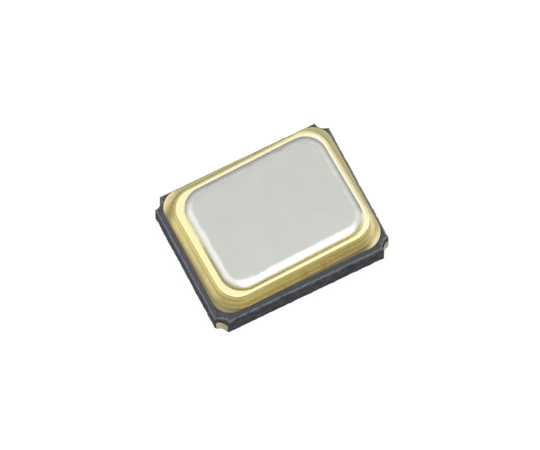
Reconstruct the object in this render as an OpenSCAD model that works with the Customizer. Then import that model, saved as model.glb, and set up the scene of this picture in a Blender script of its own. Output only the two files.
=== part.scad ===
// Surface-mount crystal oscillator in a co-fired ceramic package with a seam-welded metal lid.
// Millimetres. The origin is the middle of the footprint, on the plane of the solder lands.
// +X runs along the long side, +Y along the short side, +Z away from the circuit board.
// Seen from above, the terminals run anticlockwise from the corner at -X -Y:
// enable, ground, output, supply.

/* [Package outline] */
// Length of the ceramic package
body_l = 3.2; // [3.1:0.05:3.6]
// Width of the ceramic package
body_w = 2.5; // [2.4:0.05:2.9]
// Radius of the quarter-round notch down each corner
notch_r = 0.17; // [0.14:0.01:0.18]

/* [Ceramic layers] */
// Thickness of the floor layer
floor_t = 0.13; // [0.1:0.01:0.2]
// Thickness of the layer whose opening is the well for the die
well_t = 0.12; // [0.1:0.01:0.2]
// Thickness of the layer that the crystal stands on
shelf_t = 0.145; // [0.12:0.005:0.25]
// Thickness of the top layer, the frame round the crystal
frame_t = 0.17; // [0.12:0.01:0.3]
// Width of the bevel where the scored face meets the broken face
score_step = 0.04; // [0.02:0.005:0.045]
// Height of that bevel
score_rise = 0.035; // [0.02:0.005:0.06]
// How far the scored face leans in between the bevel and the top
score_lean = 0.02; // [0.005:0.005:0.02]

/* [Openings in the layers] */
// Width of the ceramic wall round the cavity in the frame layer
wall_t = 0.43; // [0.4:0.01:0.46]
// Corner radius of the cavity
cavity_r = 0.15; // [0.05:0.01:0.2]
// Length of the shelf that holds the crystal, at the -X end of the cavity
shelf_l = 0.53; // [0.5:0.01:0.56]
// Length of the ledge at the crystal's free end
rest_l = 0.31; // [0.25:0.01:0.35]
// Width of the narrow ledges along the cavity's sides
side_l = 0.11; // [0.08:0.01:0.13]
// Corner radius of the window in the shelf layer and of the well
pocket_r = 0.08; // [0.03:0.01:0.12]

/* [Conductors] */
// Thickness of a solder land under the ceramic
land_t = 0.015; // [0.01:0.001:0.03]
// Length of a solder land along X
land_l = 0.9; // [0.7:0.05:1.1]
// Width of a solder land along Y
land_w = 0.8; // [0.6:0.05:0.95]
// Bare strip between a land and the side of the package
land_edge = 0.05; // [0.02:0.01:0.1]
// Radius on the inner corners of a land
land_r = 0.08; // [0.03:0.01:0.15]
// Chamfer that marks the land of terminal 1
land_index = 0.22; // [0.15:0.01:0.3]
// Thickness of the plating in a corner notch
plate_t = 0.015; // [0.01:0.001:0.02]
// Bare strip between that plating and the sides of the package
plate_edge = 0.02; // [0.01:0.005:0.03]
// Thickness of a printed trace and its bond finger
trace_t = 0.012; // [0.01:0.001:0.02]
// Width of a trace
trace_w = 0.14; // [0.1:0.01:0.16]
// Width of a bond finger
finger_w = 0.18; // [0.12:0.01:0.22]
// Distance between neighbouring bond fingers
finger_pitch = 0.44; // [0.4:0.01:0.5]
// Gap between a finger's tip and the edge of the well
finger_gap = 0.04; // [0.02:0.01:0.06]
// Radius of a metal-filled hole through the ceramic
via_r = 0.045; // [0.03:0.005:0.05]
// How far before a corner its trace turns towards the notch
trace_turn = 0.32; // [0.28:0.01:0.4]
// Distance from the middle line to the hole that ties the lid to ground
ground_via_y = 0.41; // [0.3:0.01:0.5]

/* [Integrated circuit] */
// Length of the die
die_l = 1.04; // [0.95:0.01:1.1]
// Width of the die
die_w = 0.68; // [0.64:0.01:0.72]
// Thickness of the die
die_t = 0.12; // [0.08:0.005:0.13]
// Gap between the die and the walls of the well that it lies in
die_room = 0.09; // [0.06:0.01:0.12]
// Thickness of the gold pad on the floor of the well
die_pad_t = 0.01; // [0.008:0.001:0.015]
// Thickness of the silver adhesive under the die
die_glue_t = 0.012; // [0.01:0.001:0.02]
// How far that adhesive stands out round the die
die_glue_rim = 0.025; // [0.01:0.005:0.035]
// Bare floor between the gold pad and the walls of the well
die_pad_gap = 0.03; // [0.02:0.005:0.05]
// Side of a square bond pad on the die
bond_pad = 0.08; // [0.07:0.005:0.1]
// Thickness of a bond pad
bond_pad_t = 0.01; // [0.008:0.001:0.012]
// Distance between neighbouring bond pads
bond_pad_pitch = 0.38; // [0.3:0.01:0.42]
// Bare silicon between a bond pad and the die's long edge
bond_pad_edge = 0.03; // [0.02:0.005:0.05]
// Radius of a gold bond wire
wire_r = 0.0125; // [0.01:0.0005:0.015]
// How far a wire rises above its ball bond
wire_rise = 0.055; // [0.04:0.005:0.065]
// Radius of a ball bond
ball_r = 0.032; // [0.028:0.001:0.035]
// Height of a ball bond
ball_h = 0.016; // [0.012:0.001:0.02]
// Length of wire pressed onto a finger
stitch_l = 0.05; // [0.03:0.005:0.07]

/* [Crystal] */
// Thickness of the quartz blank
blank_t = 0.06; // [0.04:0.005:0.1]
// Gap between the blank's held end and the wall of the cavity
blank_gap = 0.08; // [0.05:0.01:0.1]
// Gap between the blank's free end and the wall of the cavity
blank_room = 0.24; // [0.15:0.01:0.28]
// Gap along each side of the blank
blank_side = 0.2; // [0.15:0.01:0.22]
// Length of the bevel at each end of the blank
bevel_l = 0.16; // [0.08:0.01:0.2]
// Depth of that bevel on each face
bevel_t = 0.012; // [0.006:0.001:0.018]
// Thickness of an electrode film
film_t = 0.01; // [0.008:0.001:0.012]
// Bare quartz beyond each end of an electrode's plate
plate_end = 0.46; // [0.4:0.01:0.55]
// Bare quartz along each side of an electrode's plate
plate_side = 0.22; // [0.15:0.01:0.25]
// Width of the tab from the plate to the held end
tab_w = 0.26; // [0.2:0.01:0.3]
// How far the tab is folded onto the other face
tab_fold = 0.3; // [0.26:0.01:0.32]
// Distance from the blank's long edge in to the middle of a crystal pad
pad_edge = 0.2; // [0.18:0.01:0.22]
// Length of a crystal pad along X
pad_l = 0.3; // [0.26:0.01:0.32]
// Width of a crystal pad along Y
pad_w = 0.34; // [0.3:0.01:0.38]
// Corner radius of a crystal pad
pad_r = 0.05; // [0.02:0.01:0.08]
// Height of the conductive adhesive between pad and crystal
glue_h = 0.025; // [0.015:0.005:0.04]
// Radius of an adhesive dot on its pad
glue_r = 0.12; // [0.1:0.005:0.13]
// How much narrower the dot is where it meets the crystal
glue_taper = 0.02; // [0.01:0.005:0.03]

/* [Seal ring and lid] */
// Bare ceramic between the seal metallisation and the side of the package
seal_inset = 0.07; // [0.065:0.005:0.09]
// Outer corner radius of the seal metallisation
seal_r = 0.34; // [0.33:0.01:0.42]
// Thickness of the seal metallisation
seal_t = 0.012; // [0.01:0.001:0.02]
// How far the ring and the lid were brazed off square, in degrees
seal_turn = 1.7; // [0:0.1:1.7]
// Distance from the side of the package to the seam ring
ring_inset = 0.185; // [0.17:0.005:0.2]
// Outer corner radius of the seam ring
ring_r = 0.4; // [0.34:0.01:0.44]
// Height of the seam ring
ring_h = 0.25; // [0.18:0.01:0.35]
// Radius on the ring's top outer edge
ring_round = 0.05; // [0.03:0.005:0.07]
// How far the ring's inner wall stands back from the cavity
ring_setback = 0.03; // [0.015:0.005:0.05]
// Thickness of the brazing alloy under the ring
braze_t = 0.015; // [0.01:0.001:0.03]
// How far the braze fillet spreads out from the ring
fillet_w = 0.085; // [0.07:0.005:0.095]
// How far the braze fillet climbs the ring
fillet_h = 0.13; // [0.1:0.005:0.14]
// Radius of the fillet's hollow
fillet_round = 0.16; // [0.15:0.01:0.3]
// Bare ring left at each end of the lid
lid_gap_l = 0.125; // [0.1:0.005:0.15]
// Bare ring left at each side of the lid
lid_gap_w = 0.1; // [0.075:0.005:0.125]
// How far the lid was placed off the middle of the ring
lid_offset = 0.035; // [0:0.005:0.045]
// Corner radius of the lid
lid_r = 0.38; // [0.3:0.01:0.45]
// Thickness of the lid
lid_t = 0.1; // [0.08:0.005:0.15]
// Width of the sloped rim left by the welding rollers
rim_w = 0.16; // [0.12:0.005:0.2]
// Fall of that rim
rim_drop = 0.05; // [0.03:0.002:0.06]
// Radius of the rim's convex section
rim_round = 0.3; // [0.25:0.01:0.5]
// Crevice under the lid's edge, beside the weld
lid_crevice = 0.018; // [0.01:0.001:0.022]

/* [Hidden] */
$fn = 64;
// Overshoot of a cutting shape past the surface it cuts
cut = 0.1;

// Heights of the layers' top faces, from the solder plane up
floor_z = land_t + floor_t;
well_z = floor_z + well_t;
shelf_z = well_z + shelf_t;
frame_z = shelf_z + frame_t;
finger_z = well_z + trace_t;
pad_z = shelf_z + trace_t;

// The two tiers of the outside wall: broken below, scored above
scored_z = shelf_z + score_rise;
top_inset = score_step + score_lean;

// The openings, each inside the one above; the shelf takes the -X end, so the lower two lie
// off the middle
cavity_l = body_l - 2 * wall_t;
cavity_w = body_w - 2 * wall_t;
window_l = cavity_l - shelf_l - rest_l;
window_w = cavity_w - 2 * side_l;
window_x = (shelf_l - rest_l) / 2;
well_l = die_l + 2 * die_room;
well_w = die_w + 2 * die_room;
// Middle line of the ceramic wall beside the window, where the traces run
run_y = (window_w / 2 + body_w / 2) / 2;
// Where the wires' finger ends lie, from the middle line
finger_y = well_w / 2 + finger_gap;

// Heights in the die's stack
glue_z = floor_z + die_pad_t;
die_z = glue_z + die_glue_t;
bond_z = die_z + die_t;
wire_z = bond_z + bond_pad_t + ball_h;
bond_y = die_w / 2 - bond_pad_edge - bond_pad / 2;

// The crystal's size, and its place over its pads
blank_l = cavity_l - blank_gap - blank_room;
blank_w = cavity_w - 2 * blank_side;
pad_x = -cavity_l / 2 + shelf_l / 2;
blank_x = -cavity_l / 2 + blank_gap + blank_l / 2;
blank_z = pad_z + glue_h + film_t + blank_t / 2;
pad_pitch = blank_w - 2 * pad_edge;
plate_l = blank_l - 2 * plate_end;
plate_w = blank_w - 2 * plate_side;

// The seal's stack
seal_z = frame_z + seal_t;
ring_z = seal_z + braze_t;
lid_z = ring_z + ring_h;
ring_l = body_l - 2 * ring_inset;
ring_w = body_w - 2 * ring_inset;
opening_l = cavity_l + 2 * ring_setback;
opening_w = cavity_w + 2 * ring_setback;
// The ring is as wide all round, its corners included
ring_width = (ring_l - opening_l) / 2;
opening_r = ring_r - ring_width;
lid_l = ring_l - 2 * lid_gap_l;
lid_w = ring_w - 2 * lid_gap_w;
// How far in from the edge the lid's swept section reaches; a plain plate of the same corner
// centres, which overlaps it, fills the rest
lid_swept = lid_r * 2 / 3;
lid_core = (rim_w + lid_swept) / 2;

// Finishes
black_ceramic = "#3c3c40";
gold = "#c8b06a";
bright_gold = "#e8d28a";
nickel = "#cfd0ca";
silicon = "#6a6f7c";
silver_glue = "#b9bbbe";
aluminium = "#d9dcde";
quartz = "#dfe9ee";

// ---- Plane shapes ----

module rounded_rect(l, w, r) {
    square([l - 2 * r, w], center = true);
    square([l, w - 2 * r], center = true);
    for (x = [-1, 1], y = [-1, 1])
        translate([x * (l / 2 - r), y * (w / 2 - r)]) circle(r);
}

// A strip of constant width along a list of points, with round joints
module strip(points, w) {
    for (i = [0 : len(points) - 2]) {
        from = points[i];
        step = points[i + 1] - from;
        translate(from)
            rotate(atan2(step[1], step[0]))
                translate([0, -w / 2]) square([norm(step), w]);
        translate(points[i + 1]) circle(w / 2);
    }
}

module package_corner(side) {
    translate([side[0] * body_l / 2, side[1] * body_w / 2]) children();
}

// ---- Sections swept round a rounded rectangle ----

// The child is drawn with X as the distance in from the edge of the rectangle and Y as the height
module sweep_round(l, w, r) {
    for (turn = [0, 180]) rotate(turn) {
        sweep_side(w - 2 * r, l / 2) children();
        rotate(90) sweep_side(l - 2 * r, w / 2) children();
    }
    for (x = [-1, 1], y = [-1, 1])
        translate([x * (l / 2 - r), y * (w / 2 - r), 0])
            rotate((x > 0 ? 0 : 180) + (x * y > 0 ? 0 : -90))
                rotate_extrude(angle = 90)
                    translate([r, 0]) mirror([1, 0]) children();
}

module sweep_side(length, reach) {
    translate([reach, length / 2, 0])
        rotate([90, 0, 0])
            linear_extrude(length) mirror([1, 0]) children();
}

// ---- Ceramic ----

// Section of what is cut off the sides: the bevel and the leaning scored face
module score_section() {
    polygon([
        [-cut, shelf_z], [0, shelf_z], [score_step, scored_z],
        [top_inset, frame_z], [top_inset, frame_z + cut], [-cut, frame_z + cut]
    ]);
}

// The same section, turned about a corner's axis, with the notch inside it
module notch_section() {
    polygon([
        [0, 0], [notch_r, 0], [notch_r, shelf_z], [notch_r + score_step, scored_z],
        [notch_r + top_inset, frame_z], [notch_r + top_inset, frame_z + cut], [0, frame_z + cut]
    ]);
}

module pocket(l, w, r, x, bottom, top) {
    translate([x, 0, bottom]) linear_extrude(top - bottom) rounded_rect(l, w, r);
}

module ceramic_base() {
    color(black_ceramic) difference() {
        translate([-body_l / 2, -body_w / 2, land_t]) cube([body_l, body_w, frame_z - land_t]);
        for (turn = [0, 180]) rotate(turn) {
            sweep_side(body_w + 2 * cut, body_l / 2) score_section();
            rotate(90) sweep_side(body_l + 2 * cut, body_w / 2) score_section();
        }
        for (x = [-1, 1], y = [-1, 1])
            package_corner([x, y]) rotate_extrude() notch_section();
        pocket(cavity_l, cavity_w, cavity_r, 0, shelf_z, frame_z + cut);
        pocket(window_l, window_w, pocket_r, window_x, well_z, frame_z);
        pocket(well_l, well_w, pocket_r, window_x, floor_z, frame_z);
        for (side = corners) {
            trace(side);
        }
        for (y = [-1, 1]) crystal_trace(y);
        ground_via();
    }
}

// ---- Conductors fired in with the ceramic ----

enable_side = [-1, -1];
ground_side = [1, -1];
output_side = [1, 1];
supply_side = [-1, 1];
corners = [enable_side, ground_side, output_side, supply_side];

// Each side of the well has three fingers: crystal, left terminal, right terminal
function finger_x(slot) = window_x + slot * finger_pitch;
function corner_slot(side) = side[0] < 0 ? 0 : 1;
crystal_slot = -1;

module finger(slot, y) {
    reach = window_w / 2 - finger_y;
    translate([finger_x(slot) - finger_w / 2, y > 0 ? finger_y : -finger_y - reach])
        square([finger_w, reach]);
}

// Plane shape of a corner terminal's trace: its finger, then out through the wall to the
// middle of the plating in the notch
module trace_shape(side) {
    slot = corner_slot(side);
    start_x = finger_x(slot);
    finger(slot, side[1]);
    difference() {
        strip([
            [start_x, side[1] * window_w / 2],
            [start_x, side[1] * run_y],
            [side[0] * (body_l / 2 - trace_turn), side[1] * run_y],
            [side[0] * body_l / 2, side[1] * body_w / 2]
        ], trace_w);
        package_corner(side) circle(notch_r - plate_t / 2);
    }
}

module trace(side) {
    translate([0, 0, well_z]) linear_extrude(trace_t) {
        trace_shape(side);
        if (side == ground_side) ground_branch();
    }
}

// The lid and the ring are tied to ground by a metal-filled hole through the wall
ground_via_x = (opening_l / 2 + body_l / 2 - seal_inset) / 2;

module ground_branch() {
    strip([
        [ground_via_x, -ground_via_y],
        [ground_via_x, -run_y + trace_w],
        [body_l / 2 - trace_turn, -run_y]
    ], trace_w);
    translate([ground_via_x, -ground_via_y]) circle(trace_w / 2);
}

module ground_via() {
    translate([ground_via_x, -ground_via_y, well_z]) cylinder(r = via_r, h = frame_z - well_z);
}

module land_shape(side) {
    difference() {
        translate([
            side[0] * (body_l / 2 - land_edge - land_l / 2),
            side[1] * (body_w / 2 - land_edge - land_w / 2)
        ]) difference() {
            rounded_rect(land_l, land_w, land_r);
            if (side == enable_side)
                translate([land_l / 2, land_w / 2]) rotate(45)
                    square(land_index * sqrt(2), center = true);
        }
        package_corner(side) circle(notch_r - plate_t);
    }
}

module notch_plating(side) {
    intersection() {
        package_corner(side) difference() {
            circle(notch_r);
            circle(notch_r - plate_t);
        }
        square([body_l - 2 * plate_edge, body_w - 2 * plate_edge], center = true);
    }
}

module terminal(side) {
    color(gold) {
        linear_extrude(land_t) land_shape(side);
        linear_extrude(finger_z) notch_plating(side);
        trace(side);
        if (side == ground_side) ground_via();
    }
}

// Trace from a crystal finger to the metal-filled hole under its crystal pad
module crystal_trace(y) {
    lead_y = y * pad_pitch / 2;
    translate([0, 0, well_z]) linear_extrude(trace_t) {
        finger(crystal_slot, y);
        strip([
            [finger_x(crystal_slot), y * (window_w / 2 - trace_w / 2)],
            [-cavity_l / 2 + shelf_l, y * (window_w / 2 - trace_w / 2)],
            [pad_x, lead_y]
        ], trace_w);
    }
    translate([pad_x, lead_y, well_z]) cylinder(r = via_r, h = shelf_z - well_z);
}

module crystal_lead(y) {
    color(gold) {
        crystal_trace(y);
        translate([pad_x, y * pad_pitch / 2, shelf_z])
            linear_extrude(trace_t) rounded_rect(pad_l, pad_w, pad_r);
    }
}

// ---- Integrated circuit ----

module die_pad() {
    color(gold)
        pocket(well_l - 2 * die_pad_gap, well_w - 2 * die_pad_gap, pocket_r,
            window_x, floor_z, glue_z);
}

module die_attach() {
    color(silver_glue)
        pocket(die_l + 2 * die_glue_rim, die_w + 2 * die_glue_rim, pocket_r,
            window_x, glue_z, die_z);
}

module ic_die() {
    color(silicon)
        translate([window_x - die_l / 2, -die_w / 2, die_z]) cube([die_l, die_w, die_t]);
}

function bond_x(slot) = window_x + slot * bond_pad_pitch;

module die_bond_pads() {
    color(aluminium)
        for (slot = [-1 : 1], y = [-1, 1])
            translate([bond_x(slot) - bond_pad / 2, y * bond_y - bond_pad / 2, bond_z])
                cube([bond_pad, bond_pad, bond_pad_t]);
}

// ---- Bond wires ----

wire_sides = 8;
wire_steps = 8;
// An eight-sided wire lies on the middle of a flat, a little nearer than its radius
wire_flat = wire_r * cos(180 / wire_sides);
// How far the wire starts inside its ball
wire_root = 0.004;
// Height of the curve's two handles: a curve whose handles are level tops out at 3/4 of it
wire_handle = wire_rise * 4 / 3;

function bezier(a, b, c, d, t) =
    a * pow(1 - t, 3) + b * 3 * t * pow(1 - t, 2) + c * 3 * t * t * (1 - t) + d * pow(t, 3);

// The wire's middle line in its own upright plane: [distance, height]
function wire_line(span, drop) = concat(
    [[0, -wire_root]],
    [for (i = [0 : wire_steps])
        bezier([0, 0], [0, wire_handle], [span / 2, wire_handle], [span, drop],
            i / wire_steps)],
    [[span + stitch_l, drop]]
);

// Direction of the line at one of its points, along its two neighbours
function line_direction(line, i) =
    let (step = line[min(i + 1, len(line) - 1)] - line[max(i - 1, 0)]) step / norm(step);

// Corners of every ring; the last ring stands upright, so that the stitch lies flat
function wire_points(line) = [
    for (i = [0 : len(line) - 1])
        let (way = i == 0 ? [0, 1] : line_direction(line, i))
        for (k = [0 : wire_sides - 1])
            let (a = (k + 0.5) * 360 / wire_sides, across = wire_r * cos(a), up = wire_r * sin(a))
            [line[i][0] - way[1] * up, across, line[i][1] + way[0] * up]
];

function wire_faces(rings) = concat(
    [[for (k = [wire_sides - 1 : -1 : 0]) k]],
    [for (i = [0 : rings - 2], k = [0 : wire_sides - 1])
        let (a = i * wire_sides + k, b = i * wire_sides + (k + 1) % wire_sides)
        [a, b, b + wire_sides, a + wire_sides]],
    [[for (k = [0 : wire_sides - 1]) (rings - 1) * wire_sides + k]]
);

module bond_wire(slot, y) {
    start = [bond_x(slot), y * bond_y];
    end = [finger_x(slot), y * (finger_y + window_w / 2 - stitch_l) / 2];
    way = end - start;
    line = wire_line(norm(way), finger_z + wire_flat - wire_z);
    color(bright_gold) {
        translate([start[0], start[1], wire_z - ball_h])
            cylinder(r = ball_r, h = ball_h, $fn = 12);
        translate([start[0], start[1], wire_z])
            rotate(atan2(way[1], way[0]))
                polyhedron(wire_points(line), wire_faces(len(line)), convexity = 4);
    }
}

// ---- Crystal ----

// Lengthwise section of the blank, bevelled at both ends, grown by a film
module blank_section(film) {
    x = blank_l / 2 + film;
    z = blank_t / 2 + film;
    polygon([
        [-x, -z + bevel_t], [-x + bevel_l, -z], [x - bevel_l, -z], [x, -z + bevel_t],
        [x, z - bevel_t], [x - bevel_l, z], [-x + bevel_l, z], [-x, z - bevel_t]
    ]);
}

// Places a lengthwise section and gives it a width
module across_blank(y, width) {
    translate([blank_x, y + width / 2, blank_z])
        rotate([90, 0, 0]) linear_extrude(width) children();
}

module quartz_blank() {
    color(quartz) across_blank(0, blank_w) blank_section(0);
}

// One electrode: the plate on its own face, and a tab folded round the held end at tab_y
module electrode(face, tab_y) {
    half = blank_t / 2 + film_t + cut;
    color(nickel) {
        across_blank(0, plate_w) intersection() {
            film_section();
            translate([-plate_l / 2, face > 0 ? 0 : -half]) square([plate_l, half]);
        }
        across_blank(tab_y, tab_w) intersection() {
            film_section();
            union() {
                translate([-blank_l / 2 - cut, face > 0 ? 0 : -half])
                    square([blank_l / 2 + cut, half]);
                translate([-blank_l / 2 - cut, -half]) square([tab_fold + cut, 2 * half]);
            }
        }
    }
}

module film_section() {
    difference() {
        blank_section(film_t);
        blank_section(0);
    }
}

// The dot is narrower under the crystal than on its pad, and wets the bevel of the held end
module adhesive(y) {
    color(silver_glue) difference() {
        translate([pad_x, y * pad_pitch / 2, pad_z])
            cylinder(r1 = glue_r, r2 = glue_r - glue_taper, h = glue_h + bevel_t);
        across_blank(0, blank_w) blank_section(film_t);
    }
}

// ---- Seal ----

module seal_metallisation() {
    color(gold)
        translate([0, 0, frame_z]) linear_extrude(seal_t) difference() {
            rounded_rect(body_l - 2 * seal_inset, body_w - 2 * seal_inset, seal_r);
            rounded_rect(opening_l, opening_w, opening_r);
        }
}

// The alloy under the ring, from x = 0 in, and its hollow fillet against the ring's side
module braze_section() {
    chord = norm([fillet_w, fillet_h]);
    sag = sqrt(fillet_round * fillet_round - chord * chord / 4);
    middle = [-fillet_w, fillet_h] / 2 + [-fillet_h, fillet_w] / chord * sag;
    square([ring_width, braze_t]);
    difference() {
        polygon([[-fillet_w, 0], [0, 0], [0, fillet_h]]);
        translate(middle) circle(fillet_round);
    }
}

module braze_fillet() {
    color(gold)
        translate([0, 0, seal_z]) rotate(seal_turn)
            sweep_round(ring_l, ring_w, ring_r) braze_section();
}

// Section of the ring, rounded at the top of its outer side
module ring_section() {
    difference() {
        square([ring_width, ring_h]);
        translate([0, ring_h - ring_round]) difference() {
            translate([-cut, 0]) square([cut + ring_round, ring_round + cut]);
            translate([ring_round, 0]) circle(ring_round);
        }
    }
}

module seam_ring() {
    color(bright_gold)
        translate([0, 0, ring_z]) rotate(seal_turn)
            sweep_round(ring_l, ring_w, ring_r) ring_section();
}

// Section of the lid's edge: crevice below, short upright, convex slope up to the flat top
module rim_section() {
    chord = norm([rim_w, rim_drop]);
    sag = sqrt(rim_round * rim_round - chord * chord / 4);
    middle = [rim_w, 2 * lid_t - rim_drop] / 2 + [rim_drop, -rim_w] / chord * sag;
    polygon([
        [lid_crevice, 0], [lid_swept, 0], [lid_swept, lid_t], [rim_w, lid_t],
        [0, lid_t - rim_drop], [0, lid_crevice]
    ]);
    intersection() {
        translate([0, lid_crevice]) square([rim_w, lid_t - lid_crevice]);
        translate(middle) circle(rim_round);
    }
}

module lid() {
    color(nickel) rotate(seal_turn) translate([lid_offset, 0, lid_z]) {
        sweep_round(lid_l, lid_w, lid_r) rim_section();
        linear_extrude(lid_t)
            rounded_rect(lid_l - 2 * lid_core, lid_w - 2 * lid_core, lid_r - lid_core);
    }
}

// ---- The nodes ----

ceramic_base();
terminal(enable_side);  // terminal_enable
terminal(ground_side);  // terminal_ground
terminal(output_side);  // terminal_output
terminal(supply_side);  // terminal_supply
crystal_lead(-1);  // crystal_lead_a
crystal_lead(1);  // crystal_lead_b
die_pad();
die_attach();
ic_die();
die_bond_pads();
bond_wire(0, -1);  // wire_enable
bond_wire(1, -1);  // wire_ground
bond_wire(1, 1);  // wire_output
bond_wire(0, 1);  // wire_supply
bond_wire(crystal_slot, -1);  // wire_crystal_a
bond_wire(crystal_slot, 1);  // wire_crystal_b
adhesive(-1);  // adhesive_a
adhesive(1);  // adhesive_b
quartz_blank();
electrode(1, pad_pitch / 2);  // electrode_upper
electrode(-1, -pad_pitch / 2);  // electrode_lower
seal_metallisation();
braze_fillet();
seam_ring();
lid();
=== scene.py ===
"""A surface-mount crystal oscillator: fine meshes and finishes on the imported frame.

Lengths are in metres; MM and UM turn millimetres and micrometres into metres. The origin is the
middle of the footprint on the plane of the solder lands, with +X along the long side and +Z up.
Inside a material, places are in millimetres.
"""

import logging
import math
from collections.abc import Callable, Sequence
from dataclasses import dataclass
from enum import Enum
from typing import Any

import bmesh
import bpy
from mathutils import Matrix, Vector, noise


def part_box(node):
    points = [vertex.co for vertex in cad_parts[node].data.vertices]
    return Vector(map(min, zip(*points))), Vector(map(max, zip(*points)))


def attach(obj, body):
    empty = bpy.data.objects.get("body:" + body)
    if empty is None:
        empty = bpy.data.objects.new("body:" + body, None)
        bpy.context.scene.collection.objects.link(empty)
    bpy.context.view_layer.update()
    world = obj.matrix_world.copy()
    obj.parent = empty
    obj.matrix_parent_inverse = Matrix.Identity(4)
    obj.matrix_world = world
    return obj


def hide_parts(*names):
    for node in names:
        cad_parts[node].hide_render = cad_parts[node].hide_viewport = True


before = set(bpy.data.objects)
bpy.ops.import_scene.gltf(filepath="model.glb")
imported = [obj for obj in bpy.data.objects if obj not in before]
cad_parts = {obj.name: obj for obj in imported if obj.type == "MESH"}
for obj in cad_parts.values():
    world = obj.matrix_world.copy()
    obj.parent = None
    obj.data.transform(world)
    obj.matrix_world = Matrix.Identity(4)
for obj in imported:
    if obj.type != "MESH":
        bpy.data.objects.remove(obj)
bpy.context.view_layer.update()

LOG = logging.getLogger("oscillator")
MM = 1e-3
UM = 1e-6
ROOT = "root"
# Share of the weld's groove at each corner of the ring's mesh, which also sets the painted shade
# beside the lid's edge
GROOVE_SHADE_ATTRIBUTE = "weld"
# Edges that turn by less than this many degrees are smooth
SMOOTH_BELOW = 30.0
# The Mix node's sockets for its share and its two colours, and that of its resulting colour
MIX_SHARE, MIX_FIRST, MIX_SECOND, MIX_RESULT = 0, 6, 7, 2
# The signs of the four quarters, anticlockwise from +X +Y
QUARTERS = ((1, 1), (-1, 1), (-1, -1), (1, -1))

Point = tuple[float, float]
Span = tuple[float, float]
Colour = tuple[float, float, float]
# A noise's patches in a millimetre, its finer octaves and the weight of each on the one before
Noise = tuple[float, float, float]
Loop = list[bmesh.types.BMVert]


# ---- Node trees ----


class Value:
    """A socket that takes part in sums; each operation adds one Math node."""

    def __init__(self, graph: "Graph", socket: bpy.types.NodeSocket) -> None:
        """Wraps an output socket of a graph."""
        self.graph = graph
        self.socket = socket

    def _math(self, operation: str, *terms: Any) -> "Value":
        """Adds a Math node; its terms are numbers or values, in the order of its sockets."""
        return self.graph.value("ShaderNodeMath", {"operation": operation}, dict(enumerate(terms)))

    def __add__(self, other: Any) -> "Value":
        """Sum."""
        return self._math("ADD", self, other)

    def __sub__(self, other: Any) -> "Value":
        """Difference."""
        return self._math("SUBTRACT", self, other)

    def __rsub__(self, other: Any) -> "Value":
        """Difference, this value taken away."""
        return self._math("SUBTRACT", other, self)

    def __mul__(self, other: Any) -> "Value":
        """Product."""
        return self._math("MULTIPLY", self, other)

    __radd__, __rmul__ = __add__, __mul__

    def size(self) -> "Value":
        """Distance from zero."""
        return self._math("ABSOLUTE", self)

    def larger(self, other: Any) -> "Value":
        """The larger of two values."""
        return self._math("MAXIMUM", self, other)

    def spread(self, least: float, most: float) -> "Value":
        """A value that runs from least, where this one is 0, to most, where it is 1."""
        return self * (most - least) + least

    def rise(self, low: float, high: float) -> "Value":
        """A smooth step.

        Args:
            low: Where the step leaves 0.
            high: Where it reaches 1; below low, the step falls instead.

        Returns:
            A value from 0 to 1.
        """
        if high < low:
            return 1 - self.rise(high, low)
        return self.graph.value(
            "ShaderNodeMapRange",
            {"interpolation_type": "SMOOTHSTEP"},
            {"Value": self, "From Min": low, "From Max": high},
        )


class Graph:
    """A node tree, with the one way in which this file adds nodes to it."""

    def __init__(self, tree: bpy.types.NodeTree) -> None:
        """Takes the tree to add to."""
        self.tree = tree

    def node(self, kind: str, settings: dict[str, Any] | None = None,
             inputs: dict[Any, Any] | None = None) -> bpy.types.Node:
        """Adds a node.

        Args:
            kind: The node's type.
            settings: Properties to set first.
            inputs: Numbers, names or values by socket name or index.

        Returns:
            The node.
        """
        made = self.tree.nodes.new(kind)
        for name, setting in (settings or {}).items():
            setattr(made, name, setting)
        self.feed(made, inputs or {})
        return made

    def feed(self, node: bpy.types.Node, inputs: dict[Any, Any]) -> None:
        """Links or sets a node's sockets.

        Args:
            node: The node.
            inputs: Numbers, names or values by socket name or index.
        """
        for key, term in inputs.items():
            if isinstance(term, Value):
                self.tree.links.new(term.socket, node.inputs[key])
            else:
                node.inputs[key].default_value = term

    def value(self, kind: str, settings: dict[str, Any] | None = None,
              inputs: dict[Any, Any] | None = None, output: Any = 0) -> Value:
        """Adds a node and gives one of its outputs, by name or index."""
        return Value(self, self.node(kind, settings, inputs).outputs[output])


# ---- Finishes ----


@dataclass(frozen=True)
class Layer:
    """A colour that comes in where a value rises through a span, up to a share."""

    colour: Colour
    span: Span
    share: float = 1.0


@dataclass(frozen=True)
class Relief:
    """How deep a surface's fine relief is, in metres, and how strongly it shows."""

    depth: float
    strength: float = 0.6


@dataclass(frozen=True)
class Finish:
    """A surface finish: its material's name and the record's slot that it belongs to."""

    name: str
    slot: str

    def material(self) -> bpy.types.Material:
        """Makes the material, or gives the one that was made before."""
        made = bpy.data.materials.get(self.name)
        if made is None:
            shader = Shader(self.name)
            self.paint(shader)
            made = shader.material
        return made

    def paint(self, shader: "Shader") -> None:
        """Builds the finish in a new material."""
        raise NotImplementedError

    def dress(self, node: str) -> None:
        """Gives a CAD node this finish.

        Args:
            node: Its name; every one of its material slots gets the finish.
        """
        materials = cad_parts[node].data.materials
        for i in range(len(materials)):
            materials[i] = self.material()


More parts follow.
